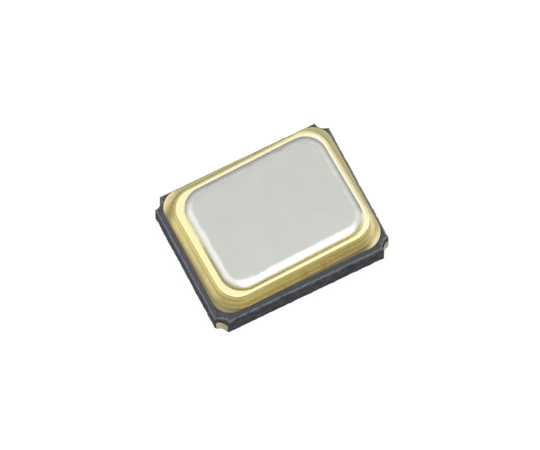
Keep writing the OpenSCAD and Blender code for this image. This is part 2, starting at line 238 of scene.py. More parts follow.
class Shader(Graph):
    """A material's tree, with its patterns in millimetres of the object's own coordinates."""

    def __init__(self, name: str) -> None:
        """Makes the material and keeps its surface node.

        Args:
            name: The material's name.
        """
        self.material = bpy.data.materials.new(name)
        self.material.use_nodes = True
        super().__init__(self.material.node_tree)
        self.surface = self.tree.nodes["Principled BSDF"]
        place = self.value("ShaderNodeTexCoord", output="Object")
        self.place = self.value(
            "ShaderNodeVectorMath", {"operation": "SCALE"}, {0: place, "Scale": 1 / MM}
        )

    def along(self, axis: str) -> Value:
        """The place along an axis, in millimetres."""
        return self.value("ShaderNodeSeparateXYZ", inputs={0: self.place}, output=axis)

    def noise(self, pattern: Noise) -> Value:
        """Soft noise.

        Args:
            pattern: Its patches, octaves and weight.

        Returns:
            A value from 0 to 1.
        """
        per_mm, octaves, weight = pattern
        return self.value("ShaderNodeTexNoise", {"normalize": True}, {
            "Vector": self.place, "Scale": per_mm, "Detail": octaves, "Roughness": weight,
        })

    def layered(self, base: Any, *layers: tuple[Value, Any]) -> Value:
        """Lays colours over one another.

        Args:
            base: The lowest colour, as numbers or a value.
            layers: A value with the layer that it brings in, or a share with its colour.

        Returns:
            The colour that shows.
        """
        for share, colour in layers:
            if isinstance(colour, Layer):
                share, colour = share.rise(*colour.span) * colour.share, colour.colour
            first, second = (c if isinstance(c, Value) else (*c, 1.0) for c in (base, colour))
            sockets = {MIX_SHARE: share, MIX_FIRST: first, MIX_SECOND: second}
            base = self.value("ShaderNodeMix", {"data_type": "RGBA"}, sockets, MIX_RESULT)
        return base

    def set(self, height: Value | None = None, relief: Relief | None = None,
            **sockets: Any) -> None:
        """Sets the surface.

        Args:
            height: The pattern of its relief, if it has one.
            relief: How deep and strong that is.
            sockets: Values, numbers or colours by socket name, with _ for each space.
        """
        if relief is not None:
            sockets["Normal"] = self.value("ShaderNodeBump", inputs={
                "Strength": relief.strength, "Distance": relief.depth, "Height": height,
            })
        self.feed(self.surface, {name.replace("_", " "): term for name, term in sockets.items()})


@dataclass(frozen=True)
class BlackCeramic(Finish):
    """Fired black alumina: snapped and grainy low down, with a painted highlight along the bevel,
    scored above.
    """

    bevel_low: float
    bevel_high: float
    body: Colour = (0.046, 0.048, 0.056)
    pale: Layer = Layer((0.084, 0.086, 0.094), (0.35, 0.7))
    dark: Layer = Layer((0.018, 0.018, 0.022), (0.42, 0.25))
    scored_dark: Colour = (0.058, 0.057, 0.062)
    scored: Layer = Layer((0.130, 0.125, 0.124), (0.35, 0.65))
    tinted: Colour = (0.110, 0.094, 0.062)
    gold_right: Span = (1.46, 1.54)
    gold_back: Span = (1.16, 1.2)
    # Painted highlight: a pale colour, broken up by noise, where the bevel's edge catches the
    # light
    bevel_highlight: Layer = Layer((0.200, 0.202, 0.215), (0.15, 0.55))
    left_end: Span = (-1.4, -1.6)
    left_lift: float = 0.014
    front_end: Span = (-1.1, -1.2)
    front_drop: float = 0.012
    edge: float = 0.008
    wave: float = 0.02
    grain: Noise = (55.0, 3.0, 0.65)
    patches: Noise = (9.0, 3.0, 0.6)
    highlight_breakup: Noise = (22.0, 2.0, 0.5)
    roughness: Span = (0.6, 0.85)
    patch_relief: float = 0.6
    relief: Relief = Relief(3.0 * UM, 0.7)

    def paint(self, shader: Shader) -> None:
        """Mottled grain; a pale painted highlight, broken up by noise, on the bevel; warmer above
        it, tinted beside the gold.
        """
        x, y = shader.along("X"), shader.along("Y")
        grain, patches = shader.noise(self.grain), shader.noise(self.patches)
        slant = x.rise(*self.left_end) * self.left_lift - y.rise(*self.front_end) * self.front_drop
        height = shader.along("Z") + (patches - 0.5) * self.wave + slant
        low, high = (
            (bevel / MM - self.edge, bevel / MM + self.edge)
            for bevel in (self.bevel_low, self.bevel_high)
        )
        bevel = height.rise(*low) * height.rise(*high[::-1])
        highlight_breakup = shader.noise(self.highlight_breakup).rise(*self.bevel_highlight.span)
        near_gold = x.rise(*self.gold_right).larger(y.rise(*self.gold_back))
        tier = shader.layered(self.scored_dark, (grain, self.scored), (near_gold, self.tinted))
        shader.set(
            grain + patches * self.patch_relief, self.relief,
            Base_Color=shader.layered(
                self.body,
                (patches, self.pale),
                (grain, self.dark),
                (height.rise(*high), tier),
                # painted highlight on the bevel
                (bevel * highlight_breakup, self.bevel_highlight.colour),
            ),
            Roughness=patches.spread(*self.roughness),
            Specular_IOR_Level=0.0,
        )


@dataclass(frozen=True)
class GoldPlate(Finish):
    """Gold over nickel on fired tungsten paste, with the paste's grain showing through."""

    gold: Colour = (0.48, 0.415, 0.20)
    thin: Layer = Layer((0.23, 0.19, 0.10), (0.40, 0.62))
    grain: Noise = (45.0, 2.0, 0.6)
    roughness: Span = (0.3, 0.46)
    patches: Noise = (12.0, 3.0, 0.7)
    patch_relief: float = 0.5
    relief: Relief = Relief(1.6 * UM)

    def paint(self, shader: Shader) -> None:
        """Fine grain, with specks and patches where the gold is thinner."""
        grain, patches = shader.noise(self.grain), shader.noise(self.patches)
        shader.set(
            grain + patches * self.patch_relief, self.relief,
            Base_Color=shader.layered(self.gold, (patches, self.thin)),
            Metallic=1.0,
            Roughness=grain.spread(*self.roughness),
        )


@dataclass(frozen=True)
class WettedFrame(Finish):
    """The seal's printed frame: a dull film of braze, painted paler at both ends, with a painted
    highlight of bright gold at two corners.
    """

    film: Colour = (0.26, 0.22, 0.11)
    brown: Layer = Layer((0.24, 0.18, 0.09), (0.45, 0.8), 0.6)
    # Painted highlight: the film paler at both ends, in place of the brighter light on the left
    # and right
    lit_ends: Layer = Layer((0.42, 0.365, 0.185), (1.20, 1.48))
    lit_ends_wave: float = 0.06
    back: Layer = Layer((0.56, 0.51, 0.29), (0.85, 1.15))
    back_turn: float = 0.34
    left_edge: Layer = Layer((0.24, 0.18, 0.09), (-1.48, -1.53), 0.6)
    # Painted highlight: bright gold at the left and right corners
    gold: Layer = Layer((0.95, 0.81, 0.48), (1.38, 1.66))
    corner_highlight_wave: float = 0.25
    flow: Noise = (7.0, 3.0, 0.6)
    grain: Noise = (45.0, 2.0, 0.6)
    roughness: Span = (0.48, 0.64)
    flow_relief: float = 0.5
    relief: Relief = Relief(1.6 * UM)

    def paint(self, shader: Shader) -> None:
        """Brown flow marks in the film, paler at the back, with painted highlights paler at the
        ends and bright gold at two corners.
        """
        x, y = shader.along("X"), shader.along("Y")
        flow, grain = shader.noise(self.flow), shader.noise(self.grain)
        shader.set(
            grain + flow * self.flow_relief, self.relief,
            Base_Color=shader.layered(
                self.film,
                (flow, self.brown),
                # painted highlight: paler at both ends
                (x.size() + flow * self.lit_ends_wave, self.lit_ends),
                (y.larger(x - self.back_turn), self.back),
                (x, self.left_edge),
                # painted highlight: bright gold at the left and right corners
                (flow * self.corner_highlight_wave - x * y, self.gold),
            ),
            Metallic=1.0,
            Roughness=grain.spread(*self.roughness),
        )


@dataclass(frozen=True)
class BrazeAlloy(Finish):
    """Gold-plated silver-copper braze that flowed out from under the ring."""

    foot: float
    top: float
    # Painted shade: darker towards the foot of the fillet, lighter up the slope
    shaded_foot: Colour = (0.46, 0.37, 0.115)
    bright: Colour = (0.60, 0.50, 0.17)
    climb_wave: float = 0.03
    red: Layer = Layer((0.34, 0.22, 0.07), (0.45, 0.8), 0.7)
    # Painted highlights: paler at both ends, on the right, and at the left and right corners
    lit_ends: Layer = Layer((0.54, 0.46, 0.20), (1.05, 1.38), 0.85)
    right_highlight: Layer = Layer((0.78, 0.68, 0.38), (1.22, 1.42), 0.6)
    corner_highlight: Layer = Layer((0.78, 0.68, 0.38), (1.20, 1.42), 0.7)
    pale_peel: Layer = Layer((0.68, 0.58, 0.24), (0.5, 0.8), 0.4)
    red_peel: Layer = Layer((0.34, 0.22, 0.07), (0.42, 0.2), 0.5)
    flow: Noise = (5.0, 4.0, 0.65)
    peel: Noise = (28.0, 2.0, 0.5)
    roughness: Span = (0.42, 0.58)
    relief: Relief = Relief(2.0 * UM)

    def paint(self, shader: Shader) -> None:
        """Painted shade darker towards the foot, painted highlights paler at both ends, at the
        right and at two corners, with flow and peel.
        """
        x, y = shader.along("X"), shader.along("Y")
        flow, peel = shader.noise(self.flow), shader.noise(self.peel)
        climb = Layer(self.bright, (self.foot / MM, self.top / MM))
        shader.set(
            peel + flow, self.relief,
            Base_Color=shader.layered(
                self.shaded_foot,
                # painted shade: darker towards the foot
                (shader.along("Z") + flow * self.climb_wave, climb),
                (flow, self.red),
                # painted highlights: both ends, the right and two corners
                (x.size(), self.lit_ends),
                (x, self.right_highlight),
                (x * y * -1, self.corner_highlight),
                (peel, self.pale_peel),
                (peel, self.red_peel),
            ),
            Metallic=1.0,
            Roughness=flow.spread(*self.roughness),
        )


@dataclass(frozen=True)
class RingGold(Finish):
    """The plated seam ring: painted shade on its flank, a painted highlight on its top above the
    rounded edge.
    """

    top: float
    # Painted shade on the flank and painted highlight on the top: a shaded and a lit copy of one
    # gold
    shaded_flank: Colour = (0.58, 0.49, 0.18)
    bright: Colour = (1.0, 0.94, 0.54)
    round_low: float = 0.012
    round_high: float = 0.0055
    grain_wave: float = 0.003
    slant: float = 0.004
    # Painted highlight on the top, paler towards the right
    paler_right_highlight: Layer = Layer((1.0, 0.97, 0.68), (1.1, 1.35))
    # Painted shade beside the lid's edge, strongest at the front and left
    ring_crevice_shade: Layer = Layer((0.74, 0.70, 0.50), (0.45, 0.85))
    ring_crevice_shade_wave: float = 0.2
    grain: Noise = (18.0, 3.0, 0.6)
    roughness: Span = (0.58, 0.30)
    grain_rough: float = 0.04
    relief: Relief = Relief(0.6 * UM, 0.5)

    def paint(self, shader: Shader) -> None:
        """Painted highlight above the flank, paler still at the right, and painted shade beside
        the lid's edge.
        """
        x, top = shader.along("X"), self.top / MM
        grain = shader.noise(self.grain)
        height = shader.along("Z") + grain * self.grain_wave + x * self.slant
        rounded = height.rise(top - self.round_low, top - self.round_high)
        # Share of the weld's groove, which here sets the painted shade
        groove_and_shade = shader.value("ShaderNodeAttribute", {"attribute_name": GROOVE_SHADE_ATTRIBUTE}, output="Fac")
        shader.set(
            grain, self.relief,
            Base_Color=shader.layered(
                # painted shade on the flank, painted highlight on the top, painted shade by the
                # lid
                self.shaded_flank,
                (rounded, shader.layered(self.bright, (x, self.paler_right_highlight))),
                (groove_and_shade + grain * self.ring_crevice_shade_wave - self.ring_crevice_shade_wave / 2, self.ring_crevice_shade),
            ),
            Metallic=1.0,
            Roughness=rounded.spread(*self.roughness) + grain * self.grain_rough,
        )


@dataclass(frozen=True)
class NickelLid(Finish):
    """Satin electroless nickel, pressed smooth by the welding rollers along the rim."""

    top: float
    edge: float
    nickel: Colour = (0.625, 0.63, 0.595)
    cloudy: Layer = Layer((0.645, 0.65, 0.61), (0.3, 0.7))
    # Painted highlight: a paler copy of the nickel on the bowed rim, which is also really smoother
    rim_highlight: Colour = (0.80, 0.792, 0.757)
    rim_from: Span = (0.0005, 0.010)
    rim_wave: float = 0.006
    # Painted shade: darker along the lid's lower edge by the weld, stronger towards the front
    weld: Colour = (0.60, 0.56, 0.40)
    crevice_shade_rise: float = 0.023
    crevice_shade_wave: float = 0.02
    front: Span = (0.3, -0.6)
    crevice_shade_shares: Span = (0.35, 1.0)
    satin: Noise = (70.0, 2.0, 0.6)
    cloud: Noise = (3.0, 3.0, 0.5)
    smear: Noise = (7.0, 2.0, 0.6)
    dents: Noise = (13.0, 2.0, 0.6)
    roughness: Span = (0.36, 0.24)
    satin_rough: float = 0.05
    dent_share: float = 4.0
    relief: Relief = Relief(0.5 * UM, 0.4)

    def paint(self, shader: Shader) -> None:
        """Satin on the flat, smoother on the bowed rim with a painted highlight there, and painted
        shade along the lid's lower edge by the weld, strongest at the front.
        """
        height, edge = shader.along("Z"), self.edge / MM
        satin, cloud = shader.noise(self.satin), shader.noise(self.cloud)
        smear, dents = shader.noise(self.smear) - 0.5, shader.noise(self.dents)
        on_rim = (self.top / MM - height + smear * self.rim_wave).rise(*self.rim_from)
        low = (height + smear * self.crevice_shade_wave).rise(edge + self.crevice_shade_rise, edge)
        front = shader.along("Y").rise(*self.front)
        shader.set(
            satin + dents * on_rim * self.dent_share, self.relief,
            Base_Color=shader.layered(
                self.nickel,
                (cloud, self.cloudy),
                # painted highlight on the rim
                (on_rim, self.rim_highlight),
                # painted shade along the lower edge, stronger at the front
                (low * front.spread(*self.crevice_shade_shares), self.weld),
            ),
            Metallic=1.0,
            Roughness=on_rim.spread(*self.roughness) + satin * self.satin_rough,
        )


@dataclass(frozen=True)
class GrainyMetal(Finish):
    """A thin or pasty metal: evaporated film, a bond pad or silver-filled adhesive."""

    dark: Colour
    light: Layer
    grain: Noise
    roughness: Span
    relief: Relief = Relief(1.0 * UM)

    def paint(self, shader: Shader) -> None:
        """Flakes or grain in the colour, the gloss and the surface."""
        grain = shader.noise(self.grain)
        shader.set(
            grain, self.relief,
            Base_Color=shader.layered(self.dark, (grain, self.light)),
            Metallic=1.0,
            Roughness=grain.spread(*self.roughness),
        )


@dataclass(frozen=True)
class PatternedSilicon(Finish):
    """A die: glassy, with small blocks of circuitry of slightly different tints."""

    field: Colour = (0.10, 0.11, 0.15)
    block: Layer = Layer((0.22, 0.20, 0.24), (0.25, 0.45))
    lines: Layer = Layer((0.34, 0.34, 0.30), (0.75, 0.95))
    lines_within: Span = (0.5, 0.3)
    cells_per_mm: float = 14.0
    cells_uneven: float = 0.8
    rows_per_mm: float = 18.0
    roughness: Span = (0.16, 0.31)
    metal: float = 0.3

    def paint(self, shader: Shader) -> None:
        """Square cells over fine rows."""
        cells = shader.value("ShaderNodeTexVoronoi", {"distance": "CHEBYCHEV"}, {
            "Vector": shader.place, "Scale": self.cells_per_mm, "Randomness": self.cells_uneven,
        })
        rows = shader.value("ShaderNodeTexWave", {"bands_direction": "Y"}, {
            "Vector": shader.place, "Scale": self.rows_per_mm, "Distortion": 0.0,
        })
        lines = rows.rise(*self.lines.span) * cells.rise(*self.lines_within)
        shader.set(
            Base_Color=shader.layered(
                self.field, (cells, self.block), (lines, self.lines.colour)
            ),
            Roughness=cells.spread(*self.roughness),
            Metallic=self.metal,
        )


@dataclass(frozen=True)
class ClearQuartz(Finish):
    """A lapped and etched quartz blank."""

    tint: Colour = (0.93, 0.95, 0.96)
    lapped: Colour = (0.86, 0.88, 0.90)
    clearness: float = 0.85
    index: float = 1.544
    etch: Noise = (60.0, 3.0, 0.6)
    roughness: Span = (0.08, 0.23)
    relief: Relief = Relief(0.5 * UM, 0.4)

    def paint(self, shader: Shader) -> None:
        """Almost clear, with a fine etched tooth."""
        etch = shader.noise(self.etch)
        shader.set(
            etch, self.relief,
            Base_Color=shader.layered(self.tint, (etch, self.lapped)),
            Roughness=etch.spread(*self.roughness),
            Transmission_Weight=self.clearness,
            IOR=self.index,
        )


@dataclass(frozen=True)
class StudioFloor(Finish):
    """Pale matt paper that glows a little, so that the part throws hardly any shadow."""

    paper: Colour = (0.06, 0.06, 0.06)
    tooth: Colour = (0.065, 0.065, 0.065)
    near: Colour = (0.60, 0.60, 0.60)
    away: Layer = Layer((0.98, 1.0, 1.16), (0.08, 0.5))
    glow: float = 1.6
    grain: Noise = (2.0, 3.0, 0.5)
    roughness: float = 0.9

    def paint(self, shader: Shader) -> None:
        """Almost even, with a little tooth; it glows more away from the part's sides and back."""
        body = Block.of("ceramic_base")
        beside = shader.along("X").size() - body.length / 2 / MM
        behind = shader.along("Y") - body.width / 2 / MM
        shader.set(
            Base_Color=shader.layered(self.paper, (shader.noise(self.grain), self.tooth)),
            Roughness=self.roughness,
            Specular_IOR_Level=0.0,
            Emission_Color=shader.layered(self.near, (beside.larger(behind), self.away)),
            Emission_Strength=self.glow,
        )


SILVER_PASTE = GrainyMetal(
    "silver_paste", "silver_adhesive", (0.45, 0.45, 0.44),
    Layer((0.80, 0.80, 0.78), (0.35, 0.65)), (70.0, 3.0, 0.6), (0.4, 0.6),
)
BOND_PADS = GrainyMetal(
    "sputtered_pads", "aluminium_pads", (0.66, 0.67, 0.70),
    Layer((0.88, 0.89, 0.90), (0.35, 0.65)), (120.0, 3.0, 0.6), (0.2, 0.4),
)
SILVER_FILM = GrainyMetal(
    "evaporated_silver", "silver_film", (0.80, 0.80, 0.78),
    Layer((0.90, 0.90, 0.88), (0.35, 0.65)), (40.0, 3.0, 0.6), (0.12, 0.32), Relief(0.2 * UM),
)
FIRED_GOLD = GoldPlate("fired_gold", "gold_plating")
BOND_GOLD = GoldPlate(
    "bond_gold", "gold_wire", (1.0, 0.78, 0.36), Layer((0.92, 0.68, 0.28), (0.40, 0.62)),
    (160.0, 2.0, 0.6), (0.18, 0.34), relief=Relief(0.3 * UM),
)


# ---- Shapes ----


@dataclass(frozen=True)
class Block:
    """The box of a CAD node: its size and the heights of its bottom and top."""

    length: float
    width: float
    bottom: float
    top: float
    middle: Point

    @classmethod
    def of(cls, node: str) -> "Block":
        """Reads a box from the frame.

        Args:
            node: The CAD node's name.

        Returns:
            Its box.
        """
        low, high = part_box(node)
        middle = (low + high) / 2
        return cls(high.x - low.x, high.y - low.y, low.z, high.z, (middle.x, middle.y))

    @property
    def rise(self) -> float:
        """Its height."""
        return self.top - self.bottom


@dataclass(frozen=True)
class Rounded:
    """A rounded rectangle: its size, corner radius and place along X, and how far it is turned."""

    length: float
    width: float
    radius: float
    shift: float = 0.0
    turn: float = 0.0

    def outline(self, steps: int = 12) -> list[Point]:
        """Its points, anticlockwise, before any turn.

        Args:
            steps: Pieces in a corner.

        Returns:
            The points.
        """
        points: list[Point] = []
        for quarter, (x, y) in enumerate(QUARTERS):
            corner = (
                self.shift + x * (self.length / 2 - self.radius),
                y * (self.width / 2 - self.radius),
            )
            points += arc(corner, self.radius, 90 * quarter, 90 * (quarter + 1), steps)
        return points

    def distance(self, place: Vector) -> float:
        """How far a place lies outside the outline, once that is turned.

        Args:
            place: The place; its height doesn't count.

        Returns:
            The distance, negative inside.
        """
        x = place.x * math.cos(self.turn) + place.y * math.sin(self.turn) - self.shift
        y = place.y * math.cos(self.turn) - place.x * math.sin(self.turn)
        over_x = abs(x) - self.length / 2 + self.radius
        over_y = abs(y) - self.width / 2 + self.radius
        outside = math.hypot(max(over_x, 0.0), max(over_y, 0.0))
        return outside + min(max(over_x, over_y), 0.0) - self.radius

    def inward(self, place: Vector) -> Vector:
        """The level way in from a place.

        Args:
            place: A place at or near the outline.

        Returns:
            A unit vector, square to the nearest part of the outline.
        """
        steps = [Vector(way) * (self.radius / 100) for way in ((1, 0, 0), (0, 1, 0))]
        slopes = [self.distance(place - step) - self.distance(place + step) for step in steps]
        return Vector((*slopes, 0.0)).normalized()


def arc(middle: Point, radius: float, start: float, end: float, steps: int) -> list[Point]:
    """The steps + 1 points along an arc from one angle to another, in degrees."""
    turns = [math.radians(start + (end - start) * i / steps) for i in range(steps + 1)]
    return [(middle[0] + radius * math.cos(a), middle[1] + radius * math.sin(a)) for a in turns]


def disc(middle: Point, radius: float, steps: int = 32) -> list[Point]:
    """Points round a circle."""
    return arc(middle, radius, 0, 360, steps)[:-1]


def chord_arc(first: Point, last: Point, radius: float, steps: int) -> list[Point]:
    """Points along the shorter arc between two points, which bulges to the left of the way.

    Args:
        first: Where the arc starts.
        last: Where it ends.
        radius: Its radius.
        steps: Number of pieces.

    Returns:
        steps + 1 points.
    """
    start, end = Vector(first), Vector(last)
    chord = end - start
    right = Vector((chord.y, -chord.x)).normalized()
    centre = (start + end) / 2 + right * math.sqrt(radius**2 - chord.length_squared / 4)
    a, b = (math.atan2(p.y - centre.y, p.x - centre.x) for p in (start, end))
    turn = (b - a + math.pi) % math.tau - math.pi
    return arc(tuple(centre), radius, math.degrees(a), math.degrees(a + turn), steps)


def straight(first: Point, last: Point, steps: int) -> list[Point]:
    """Points between two points, without the two."""
    start, way = Vector(first), Vector(last) - Vector(first)
    return [tuple(start + way * (i / steps)) for i in range(1, steps)]


def ribbon(path: list[Point], width: float) -> list[Point]:
    """The outline of a strip of constant width along a path, with mitred corners.

    Args:
        path: The strip's middle line.
        width: Its width.

    Returns:
        The points of one side, and back along the other.
    """
    line = [Vector(p) for p in path]
    ways = [(b - a).normalized() for a, b in zip(line, line[1:])]
    left: list[Point] = []
    right: list[Point] = []
    for i, corner in enumerate(line):
        before, after = ways[max(i - 1, 0)], ways[min(i, len(ways) - 1)]
        across = Vector((-(before + after).y, (before + after).x)).normalized()
        reach = width / 2 / across.dot(Vector((-after.y, after.x)))
        left.append(tuple(corner + across * reach))
        right.append(tuple(corner - across * reach))
    return left + right[::-1]


def clamp(share: float, least: float = 0.0, most: float = 1.0) -> float:
    """A number held between two others."""
    return min(max(share, least), most)


def unevenness(place: Vector, per_mm: float) -> float:
    """Noise from about -1 to 1 at a place, with per_mm lumps in a millimetre."""
    fade, gap, octaves = 0.8, 2.0, 3
    return noise.fractal(place * (per_mm / MM), fade, gap, octaves)


class Solid:
    """Closed meshes under construction."""

    def __init__(self, blocks: Sequence[tuple[list[Point], float, float]] = ()) -> None:
        """Starts with closed blocks, or empty.

        Args:
            blocks: The outline of each, its bottom and its top.
        """
        self.mesh = bmesh.new()
        for outline, bottom, top in blocks:
            self.cap(*self.tower([(outline, bottom), (outline, top)]))

    def loop(self, outline: list[Point], height: float) -> Loop:
        """Adds the corners of an outline at a height."""
        return [self.mesh.verts.new((x, y, height)) for x, y in outline]

    def wall(self, lower: Loop, upper: Loop) -> None:
        """Joins two loops.

        Args:
            lower: The lower loop.
            upper: The upper one, of as many corners.
        """
        count = len(lower)
        for i in range(count):
            j = (i + 1) % count
            self.mesh.faces.new((lower[i], lower[j], upper[j], upper[i]))

    def cap(self, *loops: Loop) -> None:
        """Closes each loop with one face."""
        for loop in loops:
            self.mesh.faces.new(loop)

    def stack(self, outline: Callable[[float], list[Point]], bottom: float, rise: float,
              steps: int) -> list[Loop]:
        """Stacks evenly spaced outlines, each given by its share of the way up."""
        shares = [step / steps for step in range(steps + 1)]
        return self.tower([(outline(share), bottom + rise * share) for share in shares])

    def ledge(self, *loops: Loop) -> None:
        """Fills a flat area.

        Args:
            loops: Its outer loop, and the loops of the holes in it.
        """
        edges = []
        for loop in loops:
            for i, corner in enumerate(loop):
                pair = (corner, loop[(i + 1) % len(loop)])
                edges.append(self.mesh.edges.get(pair) or self.mesh.edges.new(pair))
        bmesh.ops.triangle_fill(self.mesh, edges=edges, use_beauty=True)

    def tower(self, levels: list[tuple[list[Point], float]]) -> list[Loop]:
        """Stacks outlines of as many corners and joins each to the next.

        Args:
            levels: Outlines with their heights, from the bottom up.

        Returns:
            The loops.
        """
        loops = [self.loop(outline, height) for outline, height in levels]
        for lower, upper in zip(loops, loops[1:]):
            self.wall(lower, upper)
        return loops

    def finish(self, name: str, node: str, finish: Finish) -> bpy.types.Object:
        """Ends the mesh as a piece.

        Args:
            name: The piece's name.
            node: The CAD node that it stands for.
            finish: Its finish.

        Returns:
            The piece, at the origin.
        """
        mesh = bpy.data.meshes.new(name)
        self.give(mesh)
        return stands_for(dressed(name, mesh, finish), node, finish.slot)

    def give(self, mesh: bpy.types.Mesh) -> None:
        """Puts what was built into a mesh and turns its faces outwards.

        Args:
            mesh: The mesh to fill.
        """
        bmesh.ops.recalc_face_normals(self.mesh, faces=self.mesh.faces)
        self.mesh.to_mesh(mesh)
        self.mesh.free()
        smooth(mesh)


def smooth(mesh: bpy.types.Mesh) -> None:
    """Smooths a mesh except at its sharp edges."""
    mesh.shade_smooth()
    mesh.set_sharp_from_angle(angle=math.radians(SMOOTH_BELOW))


def placed(name: str, data: bpy.types.ID) -> bpy.types.Object:
    """Puts a new object in the scene.

    Args:
        name: Its name.
        data: Its mesh, curve, light or camera.

    Returns:
        The object, at the origin.
    """
    made = bpy.data.objects.new(name, data)
    bpy.context.scene.collection.objects.link(made)
    return made


def dressed(name: str, mesh: bpy.types.Mesh, finish: Finish) -> bpy.types.Object:
    """Puts a mesh in the scene, all of it in one finish.

    Args:
        name: The object's name.
        mesh: Its mesh.
        finish: Its finish.

    Returns:
        The object, at the origin.
    """
    mesh.materials.clear()
    mesh.materials.append(finish.material())
    mesh.polygons.foreach_set("material_index", [0] * len(mesh.polygons))
    return placed(name, mesh)


def stands_for(piece: bpy.types.Object, node: str, slot: str) -> bpy.types.Object:
    """Lets a piece take a CAD node's place on the one body.

    Args:
        piece: The piece.
        node: The node's name.
        slot: The record's slot for its material; not used.

    Returns:
        The piece.
    """
    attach(piece, ROOT)
    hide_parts(node)
    return piece


# ---- Geometry Nodes ----


class Recipe(Graph):
    """A Geometry Nodes tree with named inputs; each run leaves a plain mesh."""

    def __init__(self, name: str, **inputs: str) -> None:
        """Makes the tree.

        Args:
            name: The tree's name.
            inputs: Each input's name and kind: Float, Int, Vector or Object.
        """
        super().__init__(bpy.data.node_groups.new(name, "GeometryNodeTree"))
        face = self.tree.interface
        for title, kind in {**inputs, "Finish": "Material"}.items():
            face.new_socket(title, in_out="INPUT", socket_type="NodeSocket" + kind)
        face.new_socket("Geometry", in_out="OUTPUT", socket_type="NodeSocketGeometry")
        self.source = self.node("NodeGroupInput")
        self.target = self.node("NodeGroupOutput")

    def shape(self, kind: str, settings: dict[str, Any] | None = None, output: Any = 0,
              given: dict[str, str] | None = None, **inputs: Any) -> Value:
        """Adds a geometry node.

        Args:
            kind: The node's type, after the GeometryNode that begins each.
            settings: Properties to set first.
            output: The output to give, by name or index.
            given: The tree's own inputs by the socket that each feeds.
            inputs: Numbers or values by socket name, with _ for each space.

        Returns:
            The output.
        """
        feeds = {name.replace("_", " "): term for name, term in inputs.items()}
        for name, title in (given or {}).items():
            feeds[name] = Value(self, self.source.outputs[title])
        return self.value("GeometryNode" + kind, settings, feeds, output)

    def end(self, *shapes: Value) -> None:
        """Ends the tree.

        Args:
            shapes: What it made; they are joined and given the finish.
        """
        joined = self.node("GeometryNodeJoinGeometry")
        for shape in shapes:
            self.tree.links.new(shape.socket, joined.inputs[0])
        painted = self.shape(
            "SetMaterial", given={"Material": "Finish"}, Geometry=Value(self, joined.outputs[0])
        )
        self.feed(self.target, {0: self.shape("RealizeInstances", Geometry=painted)})

    def run(self, name: str, finish: Finish, **given: Any) -> bpy.types.Object:
        """Runs the tree and keeps the result as a plain mesh.

        Args:
            name: The object's name.
            finish: Its finish.
            given: The value of each named input.

        Returns:
            The object, at the origin, with no modifier.
        """
        given["Finish"] = finish.material()
        carrier = placed(name, bpy.data.meshes.new(name))
        modifier = carrier.modifiers.new(self.tree.name, "NODES")
        modifier.node_group = self.tree
        for item in self.tree.interface.items_tree:
            if item.in_out == "INPUT":
                modifier[item.identifier] = given[item.name]
        ready = carrier.evaluated_get(bpy.context.evaluated_depsgraph_get())
        mesh = bpy.data.meshes.new_from_object(ready)
        bpy.data.objects.remove(carrier)
        mesh.name = name
        smooth(mesh)
        return dressed(name, mesh, finish)


def section_curve(points: list[Point], closed: bool) -> bpy.types.Object:
    """A curve that a sweep uses as its section.

    Args:
        points: Distances in from the path, and heights.
        closed: Whether the last point joins the first.

    Returns:
        The curve's object. A sweep turns the section's X outwards and its Y down.
    """
    curve = bpy.data.curves.new("section", "CURVE")
    curve.dimensions = "3D"
    spline = curve.splines.new("POLY")
    spline.points.add(len(points) - 1)
    for corner, (inset, height) in zip(spline.points, points):
        corner.co = (-inset, -height, 0.0, 1.0)
    spline.use_cyclic_u = closed
    return placed("section", curve)


class FrameSweep:
    """Sweeps sections round rounded rectangles, with one tree for every such piece."""

    corner_steps: int = 24
    spacing: float = 0.025 * MM

    def __init__(self) -> None:
        """Builds the tree: a filleted rectangle, evenly divided, swept, turned and placed."""
        self.recipe = make = Recipe(
            "frame_sweep", Length="Float", Width="Float", Radius="Float", Corner_Steps="Int",
            Spacing="Float", Place="Vector", Turn="Vector", Section="Object",
        )
        path = make.shape(
            "CurvePrimitiveQuadrilateral", given={"Width": "Length", "Height": "Width"}
        )
        path = make.shape(
            "FilletCurve", {"mode": "POLY"}, Curve=path,
            given={"Count": "Corner_Steps", "Radius": "Radius"},
        )
        path = make.shape(
            "ResampleCurve", {"mode": "LENGTH"}, Curve=path, given={"Length": "Spacing"}
        )
        section = make.shape("ObjectInfo", output="Geometry", given={"Object": "Section"})
        swept = make.shape("CurveToMesh", Curve=path, Profile_Curve=section)
        make.end(make.shape(
            "Transform", Geometry=swept, given={"Translation": "Place", "Rotation": "Turn"}
        ))

    def piece(self, name: str, node: str, finish: Finish, path: Rounded,
              section: list[Point], closed: bool = True) -> bpy.types.Object:
        """Sweeps one piece up from the bottom of the CAD node that it stands for.

        Args:
            name: The piece's name.
            node: The CAD node.
            finish: Its finish.
            path: The rectangle; its shift is along its own, turned X.
            section: Distances in from the rectangle, and heights.
            closed: Whether the section is closed.

        Returns:
            The piece.
        """
        profile = section_curve(section, closed)
        piece = self.recipe.run(
            name, finish, Length=path.length, Width=path.width, Radius=path.radius,
            Corner_Steps=self.corner_steps, Spacing=self.spacing, Section=profile,
            Place=(
                path.shift * math.cos(path.turn), path.shift * math.sin(path.turn),
                Block.of(node).bottom,
            ),
            Turn=(0.0, 0.0, path.turn),
        )
        bpy.data.objects.remove(profile)
        return stands_for(piece, node, finish.slot)


# ---- The plan that the sub-assemblies share ----

# How far the ring and the lid are turned on the ceramic
SEAL_TURN = math.radians(1.7)


class Corner(Enum):
    """A corner of the package, by the signal of its terminal: its signs along X and Y."""

    ENABLE = (-1, -1)
    GROUND = (1, -1)
    OUTPUT = (1, 1)
    SUPPLY = (-1, 1)

    @property
    def slot(self) -> int:
        """Which of the well's fingers it leads to."""
        return max(self.value[0], 0)


